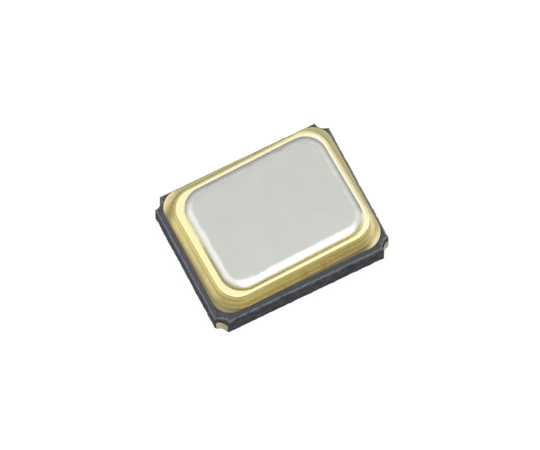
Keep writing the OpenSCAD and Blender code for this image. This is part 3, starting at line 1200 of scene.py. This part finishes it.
class Signal(Enum):
    """A connection of the circuit: its slot along the well, and its side."""

    ENABLE = (0, -1)
    GROUND = (1, -1)
    OUTPUT = (1, 1)
    SUPPLY = (0, 1)
    CRYSTAL_A = (-1, -1)
    CRYSTAL_B = (-1, 1)


@dataclass(frozen=True)
class Plan:
    """Sizes of the package's openings and conductors, and the outlines of its ring and lid."""

    notch: float = 0.17 * MM
    cavity: Rounded = Rounded(2.34 * MM, 1.64 * MM, 0.15 * MM)
    window: Rounded = Rounded(1.50 * MM, 1.42 * MM, 0.08 * MM, 0.11 * MM)
    well: Rounded = Rounded(1.22 * MM, 0.86 * MM, 0.08 * MM, 0.11 * MM)
    finger_pitch: float = 0.44 * MM
    finger_width: float = 0.18 * MM
    finger_gap: float = 0.04 * MM
    trace_width: float = 0.14 * MM
    via_radius: float = 0.045 * MM
    floor: float = 0.145 * MM
    ledge: float = 0.265 * MM
    shelf: float = 0.41 * MM
    printed_rise: float = 0.012 * MM
    notch_steps: int = 16
    ring: Rounded = Rounded(2.83 * MM, 2.13 * MM, 0.40 * MM, turn=SEAL_TURN)
    lid: Rounded = Rounded(2.58 * MM, 1.93 * MM, 0.38 * MM, 0.035 * MM, SEAL_TURN)

    @property
    def half(self) -> Point:
        """Half the package's length and width."""
        body = Block.of("ceramic_base")
        return body.length / 2, body.width / 2

    def notch_arc(self, radius: float, margin: float, quarter: int = 0) -> list[Point]:
        """Points round a corner's notch, on the way round the package.

        Args:
            radius: Distance from the notch's middle.
            margin: Distance from the sides of the package at which the arc ends.
            quarter: Which corner, anticlockwise from +X +Y.

        Returns:
            The points.
        """
        lead = math.degrees(math.asin(margin / radius))
        turn = 90 * quarter
        middle = tuple(sign * half for sign, half in zip(QUARTERS[quarter], self.half))
        return arc(middle, radius, turn + 270 - lead, turn + 180 + lead, self.notch_steps)

    @property
    def run_y(self) -> float:
        """Middle line of the wall beside the window, where the traces run."""
        return (self.window.width / 2 + self.half[1]) / 2

    @property
    def finger_y(self) -> float:
        """Where the fingers start, from the middle line."""
        return self.well.width / 2 + self.finger_gap

    def finger_x(self, slot: int) -> float:
        """Middle line of the finger in a slot."""
        return self.window.shift + slot * self.finger_pitch

    def finger(self, slot: int, side: int) -> list[Point]:
        """The four corners of the bond finger in a slot, on the side -1 or 1 of the well."""
        lit_ends = [(self.finger_x(slot), side * y) for y in (self.finger_y, self.window.width / 2)]
        return ribbon(lit_ends, self.finger_width)


# ---- Sub-assemblies ----


@dataclass
class Package:
    """The ceramic body with its notches, its two-tier side and the stepped cavity."""

    plan: Plan
    bevel_rise: float = 0.035 * MM
    bevel_step: float = 0.04 * MM
    lean: float = 0.02 * MM
    spacing: float = 0.03 * MM
    broken_depth: float = 0.011 * MM
    scored_depth: float = 0.003 * MM
    bevel_wave: float = 0.006 * MM
    fade: float = 0.06 * MM
    lumps_per_mm: float = 9.0
    even_share: float = 0.3

    def outline(self, inset: float) -> tuple[list[Point], list[Point]]:
        """The body's outline at one height.

        Args:
            inset: How far the sides stand in there; the notches widen by as much.

        Returns:
            Its points, anticlockwise, and each point's way in, zero within the notches.
        """
        plan = self.plan
        arcs = [plan.notch_arc(plan.notch + inset, inset, quarter) for quarter in range(4)]
        points: list[Point] = []
        inward: list[Point] = []
        for i, way in enumerate(((0, -1), (1, 0), (0, 1), (-1, 0))):
            notch, following = arcs[i], arcs[(i + 1) % 4]
            reach = plan.half[i % 2] * 2
            side = straight(notch[-1], following[0], round(reach / self.spacing))
            points += notch + side
            inward += [(0, 0)] * len(notch) + [way] * len(side)
        return points, inward

    def weathered(self, inset: float, height: float, depth: float) -> list[Vector]:
        """The corners of one level of the side, pushed in unevenly.

        Args:
            inset: How far the sides stand in there.
            height: The level's height.
            depth: How deep the hollows are.

        Returns:
            The corners.
        """
        corners = []
        half_x, half_y = self.plan.half
        for (x, y), (in_x, in_y) in zip(*self.outline(inset)):
            gap = half_x - abs(x) if in_y else half_y - abs(y)
            share = clamp((gap - self.plan.notch - inset) / self.fade)
            place = Vector((x, y, height))
            lumps = unevenness(place, self.lumps_per_mm)
            push = depth * share * (self.even_share + (1 - self.even_share) * lumps)
            corners.append(place + Vector((in_x, in_y, 0)) * clamp(push, 0.0, depth))
        return corners

    def levels(self, bottom: float, bevel: float, top: float) -> list[list[Vector]]:
        """Every level of the side, from the bottom up.

        Args:
            bottom: Height of the underside.
            bevel: Height at which the bevel starts.
            top: Height of the top face.

        Returns:
            The corners of each level.
        """
        tiers = []
        for low, high, inset, lean, depth in (
            (bottom, bevel, 0.0, 0.0, self.broken_depth),
            (bevel + self.bevel_rise, top, self.bevel_step, self.lean, self.scored_depth),
        ):
            steps = round((high - low) / self.spacing)
            tiers.append([
                self.weathered(inset + lean * i / steps, low + (high - low) * i / steps, depth)
                for i in range(steps + 1)
            ])
        lower, upper = tiers
        for corner in lower[-1] + upper[0]:
            along = Vector((corner.x, corner.y, 0))
            corner.z += self.bevel_wave * unevenness(along, self.lumps_per_mm / 2)
        return lower + upper

    def build(self) -> list[bpy.types.Object]:
        """Makes the body."""
        plan, body = self.plan, Block.of("ceramic_base")
        solid = Solid()
        side = [
            [solid.mesh.verts.new(corner) for corner in level]
            for level in self.levels(body.bottom, plan.shelf, body.top)
        ]
        for lower, upper in zip(side, side[1:]):
            solid.wall(lower, upper)
        for corner in side[-1]:
            corner.co.z = body.top
        outer = side[-1]
        for opening, top, bottom in (
            (plan.cavity, body.top, plan.shelf),
            (plan.window, plan.shelf, plan.ledge),
            (plan.well, plan.ledge, plan.floor),
        ):
            mouth, foot = (solid.loop(opening.outline(), z) for z in (top, bottom))
            solid.ledge(outer, mouth)
            solid.wall(foot, mouth)
            outer = foot
        solid.cap(side[0], outer)
        finish = BlackCeramic(
            "fired_alumina", "black_ceramic", plan.shelf, plan.shelf + self.bevel_rise
        )
        return [solid.finish("ceramic_body", "ceramic_base", finish)]


@dataclass
class Conductors:
    """The fired-on metal: four corner terminals and the crystal's two leads."""

    plan: Plan
    land: tuple[float, float] = (0.9 * MM, 0.8 * MM)
    land_edge: float = 0.05 * MM
    land_radius: float = 0.08 * MM
    land_index: float = 0.22 * MM
    land_rise: float = 0.015 * MM
    plating: float = 0.015 * MM
    plating_edge: float = 0.02 * MM
    plating_bite: float = 0.9
    trace_turn: float = 0.32 * MM
    ground_via: Point = (1.365 * MM, -0.41 * MM)
    crystal_pad: Rounded = Rounded(0.3 * MM, 0.34 * MM, 0.05 * MM, -0.905 * MM)
    crystal_pad_y: float = 0.42 * MM
    land_steps: int = 8

    def land_outline(self, index: bool) -> list[Point]:
        """The outline of the land at +X +Y, anticlockwise.

        Args:
            index: Whether its inner corner has the chamfer that marks the first terminal.

        Returns:
            The points.
        """
        high_x, high_y = (reach - self.land_edge for reach in self.plan.half)
        low_x, low_y = high_x - self.land[0], high_y - self.land[1]
        r, steps = self.land_radius, self.land_steps
        inner = arc((low_x + r, low_y + r), r, 180, 270, steps)
        if index:
            inner = [(low_x, low_y + self.land_index), (low_x + self.land_index, low_y)]
        return [
            *inner,
            *arc((high_x - r, low_y + r), r, 270, 360, steps),
            *self.plan.notch_arc(self.plan.notch, self.land_edge),
            *arc((low_x + r, high_y - r), r, 90, 180, steps),
        ]

    def run_to_notch(self, corner: Corner) -> list[Point]:
        """Middle line of a terminal's trace.

        Args:
            corner: The terminal's corner.

        Returns:
            The line's points, from the well's window to the notch's plating.
        """
        x, y = corner.value
        half_x, half_y = self.plan.half
        start_x = self.plan.finger_x(corner.slot)
        bend = Vector((x * (half_x - self.trace_turn), y * self.plan.run_y))
        notch = Vector((x * half_x, y * half_y))
        reach = self.plan.notch - self.plating * self.plating_bite
        end = notch + (bend - notch).normalized() * reach
        return [
            (start_x, y * self.plan.window.width / 2), (start_x, y * self.plan.run_y),
            tuple(bend), tuple(end),
        ]

    def terminal(self, corner: Corner) -> bpy.types.Object:
        """One terminal: land, notch plating, trace and finger.

        Args:
            corner: Its corner; at GROUND it also rises to the seal.

        Returns:
            The piece.
        """
        plan, (x, y) = self.plan, corner.value
        ledge, top = plan.ledge, plan.ledge + plan.printed_rise
        plating = plan.notch_arc(plan.notch, self.plating_edge)
        plating += plan.notch_arc(plan.notch - self.plating, self.plating_edge)[::-1]
        outer = ((self.land_outline(corner is Corner.ENABLE), self.land_rise), (plating, top))
        blocks = [
            *(([(x * a, y * b) for a, b in outline], 0.0, high) for outline, high in outer),
            (ribbon(self.run_to_notch(corner), plan.trace_width), ledge, top),
            (plan.finger(corner.slot, y), ledge, top),
        ]
        if corner is Corner.GROUND:
            via = self.ground_via
            run = [via, (via[0], -plan.run_y + plan.trace_width / 2)]
            blocks += [
                (ribbon(run, plan.trace_width), ledge, top),
                (disc(via, plan.trace_width / 2), ledge, top),
                (disc(via, plan.via_radius), top, Block.of("ceramic_base").top),
            ]
        name = corner.name.lower()
        return Solid(blocks).finish(f"{name}_terminal", f"terminal_{name}", FIRED_GOLD)

    def crystal_lead(self, side: int, letter: str) -> bpy.types.Object:
        """The lead to one side of the crystal: finger, trace, metal-filled hole and pad.

        Args:
            side: -1 or 1, the side along Y.
            letter: The side's letter in the names.

        Returns:
            The piece.
        """
        plan, pad = self.plan, self.crystal_pad
        ledge, top = plan.ledge, plan.ledge + plan.printed_rise
        run_y = side * (plan.window.width - plan.trace_width) / 2
        end = (pad.shift, side * self.crystal_pad_y)
        run = [
            (plan.finger_x(-1) - plan.finger_width / 2, run_y),
            (plan.window.shift - plan.window.length / 2, run_y), end,
        ]
        outline = [(x, y + end[1]) for x, y in pad.outline()]
        solid = Solid([
            (plan.finger(-1, side), ledge, top),
            (ribbon(run, plan.trace_width), ledge, top),
            (disc(end, plan.via_radius), top, plan.shelf),
            (outline, plan.shelf, plan.shelf + plan.printed_rise),
        ])
        return solid.finish(f"lead_{letter}", f"crystal_lead_{letter}", FIRED_GOLD)

    def build(self) -> list[bpy.types.Object]:
        """Makes the six."""
        leads = [self.crystal_lead(-1, "a"), self.crystal_lead(1, "b")]
        return [*(self.terminal(corner) for corner in Corner), *leads]


@dataclass
class Circuit:
    """The die on its gold pad, with its adhesive and its bond pads."""

    pad_radius: float = 0.08 * MM
    pad_bulge: float = 2 * UM
    glue_bulge: float = 9 * UM
    steps: int = 4

    def sheet(self, name: str, node: str, finish: Finish, bulge: float) -> bpy.types.Object:
        """A thin layer under the die, rounded in towards its top edge.

        Args:
            name: The piece's name.
            node: The CAD node that it stands for.
            finish: Its finish.
            bulge: How far its top stands in from its foot.

        Returns:
            The piece.
        """
        block, solid = Block.of(node), Solid()

        def outline(share: float) -> list[Point]:
            """The layer's outline at a share of its height."""
            inset = bulge * (1 - math.sqrt(1 - share**2))
            return Rounded(
                block.length - 2 * inset, block.width - 2 * inset, self.pad_radius - inset,
                block.middle[0],
            ).outline()

        loops = solid.stack(outline, block.bottom, block.rise, self.steps)
        solid.cap(loops[0], loops[-1])
        return solid.finish(name, node, finish)

    def build(self) -> list[bpy.types.Object]:
        """Makes the layers and dresses the die and its bond pads."""
        PatternedSilicon("patterned_silicon", "silicon").dress("ic_die")
        BOND_PADS.dress("die_bond_pads")
        return [
            self.sheet("gold_pad", "die_pad", FIRED_GOLD, self.pad_bulge),
            self.sheet("die_glue", "die_attach", SILVER_PASTE, self.glue_bulge),
        ]


@dataclass
class BondWires:
    """Six ball-bonded gold wires, each one run of the same recipe."""

    plan: Plan
    pad_pitch: float = 0.38 * MM
    pad_y: float = 0.27 * MM
    radius: float = 0.0125 * MM
    rise: float = 0.055 * MM
    ball_radius: float = 0.032 * MM
    ball_rise: float = 0.016 * MM
    stitch: float = 0.05 * MM
    stitch_taper: float = 0.6
    stitch_steps: int = 6
    loop_steps: int = 28
    sides: int = 12
    ball_sides: int = 24

    def recipe(self) -> Recipe:
        """The tree: a looped wire, the tapering stitch at its end and the flattened ball."""
        make = Recipe(
            "bond_wire", Start="Vector", Rising="Vector", Falling="Vector", End="Vector",
            Tail="Vector", Radius="Float", Ball="Vector", Steps="Int",
        )
        section = make.shape(
            "CurvePrimitiveCircle", given={"Radius": "Radius"}, Resolution=self.sides
        )
        loop = make.shape("CurvePrimitiveBezierSegment", given={
            "Resolution": "Steps", "Start": "Start", "Start Handle": "Rising",
            "End Handle": "Falling", "End": "End",
        })
        tail = make.shape("CurvePrimitiveLine", given={"Start": "End", "End": "Tail"})
        tail = make.shape("ResampleCurve", {"mode": "COUNT"}, Curve=tail, Count=self.stitch_steps)
        along = make.shape("SplineParameter", output="Factor")
        wire, flat = (
            make.shape("CurveToMesh", Curve=path, Profile_Curve=section, Scale=scale,
                       Fill_Caps=True)
            for path, scale in ((loop, 1.0), (tail, 1 - along * self.stitch_taper))
        )
        ball = make.shape(
            "MeshUVSphere", Segments=self.ball_sides, Rings=self.ball_sides // 2, Radius=1.0
        )
        ball = make.shape(
            "Transform", Geometry=ball, given={"Scale": "Ball", "Translation": "Start"}
        )
        make.end(wire, flat, ball)
        return make

    def build(self) -> list[bpy.types.Object]:
        """Makes the wires."""
        make, plan = self.recipe(), self.plan
        pad_top = Block.of("die_bond_pads").top
        finger_top = plan.ledge + plan.printed_rise
        mid_finger = (plan.finger_y + plan.window.width / 2 - self.stitch) / 2
        wires = []
        for signal in Signal:
            slot, side = signal.value
            start = Vector((
                plan.window.shift + slot * self.pad_pitch, side * self.pad_y,
                pad_top + self.ball_rise / 2,
            ))
            end = Vector((plan.finger_x(slot), side * mid_finger, finger_top + self.radius))
            way = end - start
            way.z = 0.0
            # A loop's top is three quarters of the way up to its two handles
            top = Vector((0, 0, self.rise * 4 / 3 + self.ball_rise / 2))
            tail = end + way.normalized() * self.stitch
            tail.z = finger_top + self.radius * (1 - self.stitch_taper)
            name = signal.name.lower()
            wire = make.run(
                f"{name}_bond_wire", BOND_GOLD, Start=start, Rising=start + top,
                Falling=start + way / 2 + top, End=end, Tail=tail, Radius=self.radius,
                Steps=self.loop_steps,
                Ball=(self.ball_radius, self.ball_radius, self.ball_rise / 2),
            )
            wires.append(stands_for(wire, f"wire_{name}", BOND_GOLD.slot))
        return wires


@dataclass
class Crystal:
    """The quartz blank with its film electrodes, on two dots of conductive adhesive."""

    dot_radius: float = 0.12 * MM
    dot_taper: float = 0.02 * MM
    dot_waist: float = 6 * UM
    dot_steps: int = 6
    bevel_x: float = -0.94 * MM
    bevel_slope: float = 0.075

    def dot(self, letter: str) -> bpy.types.Object:
        """One dot of adhesive, waisted between its pad and the crystal that it wets.

        Args:
            letter: Its side's letter in the names.

        Returns:
            The piece.
        """
        block, solid = Block.of(f"adhesive_{letter}"), Solid()

        def outline(share: float) -> list[Point]:
            """The dot's outline at a share of its height."""
            waist = self.dot_waist * math.sin(math.pi * share)
            return disc(block.middle, self.dot_radius - self.dot_taper * share - waist)

        rise = Block.of("electrode_lower").bottom - block.bottom
        loops = solid.stack(outline, block.bottom, rise, self.dot_steps)
        for corner in loops[-1]:
            corner.co.z += max(0.0, self.bevel_x - corner.co.x) * self.bevel_slope
        solid.cap(loops[0], loops[-1])
        return solid.finish(f"adhesive_dot_{letter}", f"adhesive_{letter}", SILVER_PASTE)

    def build(self) -> list[bpy.types.Object]:
        """Makes the dots and dresses the blank and its electrodes."""
        ClearQuartz("etched_quartz", "quartz").dress("quartz_blank")
        SILVER_FILM.dress("electrode_upper")
        SILVER_FILM.dress("electrode_lower")
        return [self.dot(letter) for letter in "ab"]


@dataclass
class Seal:
    """The printed frame, the braze with its hollow fillet, and the seam ring."""

    sweep: FrameSweep
    plan: Plan
    printed: Rounded = Rounded(3.06 * MM, 2.36 * MM, 0.34 * MM)
    opening: Rounded = Rounded(2.40 * MM, 1.70 * MM, 0.185 * MM)
    ring_width: float = 0.215 * MM
    ring_round: float = 0.05 * MM
    fillet_out: float = 0.085 * MM
    fillet_up: float = 0.13 * MM
    fillet_hollow: float = 0.16 * MM
    groove: float = 0.010 * MM
    groove_reach: float = 0.034 * MM
    groove_inside: float = 0.035 * MM
    fade_right: float = 0.9 * MM
    fade_back: float = -0.3 * MM
    fade_reach: float = 0.5 * MM
    fade_share: float = 0.75
    # Shares of the ring's rise over which the weld's groove and its painted shade come in
    groove_shade_low: float = 0.75
    groove_shade_high: float = 0.95
    frame_steps: int = 24
    fillet_steps: int = 14
    round_steps: int = 12
    top_steps: int = 18

    def build(self) -> list[bpy.types.Object]:
        """Makes the three pieces."""
        return [self.printed_frame(), self.braze(), self.ring()]

    def printed_frame(self) -> bpy.types.Object:
        """The gold-plated frame printed on the ceramic."""
        node = "seal_metallisation"
        block = Block.of(node)
        solid = Solid()
        outer, inner = (shape.outline(self.frame_steps) for shape in (self.printed, self.opening))
        loops = solid.tower([
            (outer, block.bottom), (outer, block.top), (inner, block.top), (inner, block.bottom)
        ])
        solid.wall(loops[-1], loops[0])
        return solid.finish("seal_frame", node, WettedFrame("wetted_frame", "gold_plating"))

    def braze(self) -> bpy.types.Object:
        """The alloy under the ring and its fillet."""
        block = Block.of("braze_fillet")
        layer = Block.of("seam_ring").bottom - block.bottom
        hollow = chord_arc(
            (0, self.fillet_up), (-self.fillet_out, 0), self.fillet_hollow, self.fillet_steps
        )
        section = [(self.ring_width, 0), (self.ring_width, layer), (0, layer), *hollow]
        finish = BrazeAlloy("braze_alloy", "gold_plating", block.bottom, block.top)
        return self.sweep.piece("braze", "braze_fillet", finish, self.plan.ring, section)

    def ring(self) -> bpy.types.Object:
        """The seam ring, rounded along its top outer edge and drawn in along the weld, with the
        share of painted shade beside the lid's edge stored on it.
        """
        block, r = Block.of("seam_ring"), self.ring_round
        edge = arc((r, block.rise - r), r, 180, 90, self.round_steps)[::-1]
        inner = (self.ring_width, block.rise)
        top = straight(inner, edge[0], self.top_steps)
        section = [(self.ring_width, 0), inner, *top, *edge, (0, 0)]
        finish = RingGold("ring_gold", "gold_plating", block.top)
        piece = self.sweep.piece("ring", "seam_ring", finish, self.plan.ring, section)
        # The share both lowers the ring's top and darkens it there as painted shade
        groove_and_shade = piece.data.attributes.new(GROOVE_SHADE_ATTRIBUTE, "FLOAT", "POINT")
        for corner, share in zip(piece.data.vertices, groove_and_shade.data):
            upper = (corner.co.z - block.bottom) / block.rise
            upper = clamp((upper - self.groove_shade_low) / (self.groove_shade_high - self.groove_shade_low))
            share.value = self.groove_and_shade_share(corner.co) * upper
            corner.co.z -= self.groove * share.value
        return piece

    def groove_and_shade_share(self, place: Vector) -> float:
        """How much the weld drew the ring's top down at a place; the same share sets the painted
        shade there.

        Args:
            place: A corner of the ring's mesh.

        Returns:
            1 at the lid's edge, less further off and towards the right and the back.
        """
        gap = self.plan.lid.distance(place)
        reach = self.groove_reach if gap > 0 else self.groove_inside
        share = max(0.0, 1 - abs(gap) / reach)
        past = max(place.x - self.fade_right, place.y - self.fade_back) / self.fade_reach
        return share**2 * (3 - 2 * share) * (1 - self.fade_share * clamp(past))


@dataclass
class Lid:
    """The flat lid with the bowed rim that the welding rollers leave."""

    sweep: FrameSweep
    path: Rounded
    rim_steps: int = 14
    rim_reach: float = 1.1
    rim_flat: float = 0.3
    rim_width: float = 0.16 * MM
    rim_drop: float = 0.05 * MM
    rim_bow: float = 0.3 * MM
    crevice: float = 0.018 * MM
    ripple: float = 0.004 * MM
    wander: float = 0.022 * MM
    ripples_per_mm: float = 5.0

    def build(self) -> list[bpy.types.Object]:
        """Makes the lid."""
        block = Block.of("lid")
        rise = block.rise
        slope = chord_arc(
            (0, rise - self.rim_drop), (self.rim_width, rise), self.rim_bow, self.rim_steps
        )
        section = [(self.crevice, 0), (0, self.crevice), *slope]
        finish = NickelLid("nickel_lid", "nickel_plate", block.top, block.top - self.rim_drop)
        piece = self.sweep.piece("welded_lid", "lid", finish, self.path, section, closed=False)
        for corner in piece.data.vertices:
            corner.co = self.rippled(corner.co.copy(), block.top - corner.co.z)
        solid = Solid()
        solid.mesh.from_mesh(piece.data)
        open_edges = [edge for edge in solid.mesh.edges if edge.is_boundary]
        bmesh.ops.holes_fill(solid.mesh, edges=open_edges, sides=0)
        solid.give(piece.data)
        return [piece]

    def rippled(self, place: Vector, sunk: float) -> Vector:
        """Presses a place on the rim down unevenly, and moves the flat's edge in and out.

        Args:
            place: A corner of the lid's mesh.
            sunk: How far it lies below the lid's top.

        Returns:
            Where the corner goes.
        """
        if sunk < self.rim_drop * self.rim_reach:
            share = min(1.0, sunk / (self.rim_drop * self.rim_flat))
            uneven = unevenness(Vector((place.x, place.y, 0)), self.ripples_per_mm)
            place += self.path.inward(place) * (self.wander * (1 - share) * uneven)
            place.z -= self.ripple * share * clamp(0.5 + 0.5 * uneven)
        return place


# ---- Studio ----


@dataclass(frozen=True)
class Softbox:
    """A square area light that looks at the origin."""

    name: str
    azimuth: float
    elevation: float
    side: float
    power: float
    distance: float = 60 * MM

    def build(self) -> None:
        """Makes the light."""
        light = bpy.data.lights.new(self.name, "AREA")
        light.size = self.side
        light.energy = self.power
        back = direction(self.azimuth, self.elevation)
        aim(placed(self.name, light), back * self.distance, back)


def direction(azimuth: float, elevation: float) -> Vector:
    """The way to a viewer so many degrees round from -Y towards +X, and above the horizon."""
    a, e = math.radians(azimuth), math.radians(elevation)
    return Vector((math.sin(a) * math.cos(e), -math.cos(a) * math.cos(e), math.sin(e)))


def aim(thing: bpy.types.Object, place: Vector, back: Vector) -> None:
    """Places a light or a camera.

    Args:
        thing: The object.
        place: Where it stands.
        back: The way that its back faces.
    """
    thing.location = place
    thing.rotation_mode = "QUATERNION"
    thing.rotation_quaternion = (-back).to_track_quat("-Z", "Y")


@dataclass(frozen=True)
class Studio:
    """Floor, soft light and the camera."""

    floor_side: float = 400 * MM
    azimuth: float = -26.97
    elevation: float = 69.42
    lens: float = 900.0
    sensor: float = 36.0
    picture_width: float = 8.885 * MM
    aim_left: float = 0.030 * MM
    aim_above: float = 0.121 * MM
    clip_factor: float = 10.0
    sky: Span = (0.30, 1.0)
    sky_rise: Span = (0.15, 0.98)
    white: Colour = (1.0, 1.0, 1.0)
    lights: tuple[Softbox, ...] = (
        Softbox("front", 10.0, 66.0, 42 * MM, 0.0048),
        Softbox("left_low", -105.0, 8.0, 30 * MM, 0.0055),
        Softbox("left_high", -120.0, 52.0, 36 * MM, 0.0009),
        Softbox("right_low", 75.0, 15.0, 30 * MM, 0.0045),
        Softbox("right_high", 112.0, 38.0, 36 * MM, 0.0004),
    )

    def build(self) -> None:
        """Makes the floor, the lights and the camera."""
        self.floor()
        self.world()
        for light in self.lights:
            light.build()
        self.camera()

    def floor(self) -> None:
        """A pale sheet under the part."""
        mesh = bmesh.new()
        bmesh.ops.create_grid(mesh, x_segments=1, y_segments=1, size=self.floor_side / 2)
        sheet = bpy.data.meshes.new("studio_floor")
        mesh.to_mesh(sheet)
        mesh.free()
        floor = dressed("studio_floor", sheet, StudioFloor("studio_paper", ""))

    def world(self) -> None:
        """White light from all round, brighter from above."""
        world = bpy.data.worlds.new("studio")
        bpy.context.scene.world = world
        world.use_nodes = True
        sky = Graph(world.node_tree)
        way = sky.value("ShaderNodeTexCoord", output="Generated")
        height = sky.value("ShaderNodeSeparateXYZ", inputs={0: way}, output="Z")
        light = height.rise(*self.sky_rise).spread(*self.sky)
        background = world.node_tree.nodes["Background"]
        sky.feed(background, {"Strength": light, "Color": (*self.white, 1.0)})

    def camera(self) -> None:
        """A long lens at the viewing angle."""
        data = bpy.data.cameras.new("camera")
        data.lens = self.lens
        data.sensor_width = self.sensor
        distance = self.picture_width * self.lens / self.sensor
        data.clip_start = distance / self.clip_factor
        data.clip_end = distance * self.clip_factor
        back = direction(self.azimuth, self.elevation)
        a = math.radians(self.azimuth)
        right = Vector((math.cos(a), math.sin(a), 0.0))
        middle = back.cross(right) * self.aim_above - right * self.aim_left
        viewer = placed("camera", data)
        aim(viewer, middle + back * distance, back)
        bpy.context.scene.camera = viewer
        bpy.context.scene.view_settings.view_transform = "Standard"


def main() -> None:
    """Builds the part and the studio, and reports each piece."""
    logging.basicConfig(level=logging.INFO, format="%(name)s: %(message)s")
    plan, sweep = Plan(), FrameSweep()
    assemblies = (
        Package(plan),
        Conductors(plan),
        Circuit(),
        BondWires(plan),
        Crystal(),
        Seal(sweep, plan),
        Lid(sweep, plan.lid),
    )
    for assembly in assemblies:
        for piece in assembly.build():
            LOG.info("%s: %d faces", piece.name, len(piece.data.polygons))
    Studio().build()


if __name__ == "__main__":
    main()
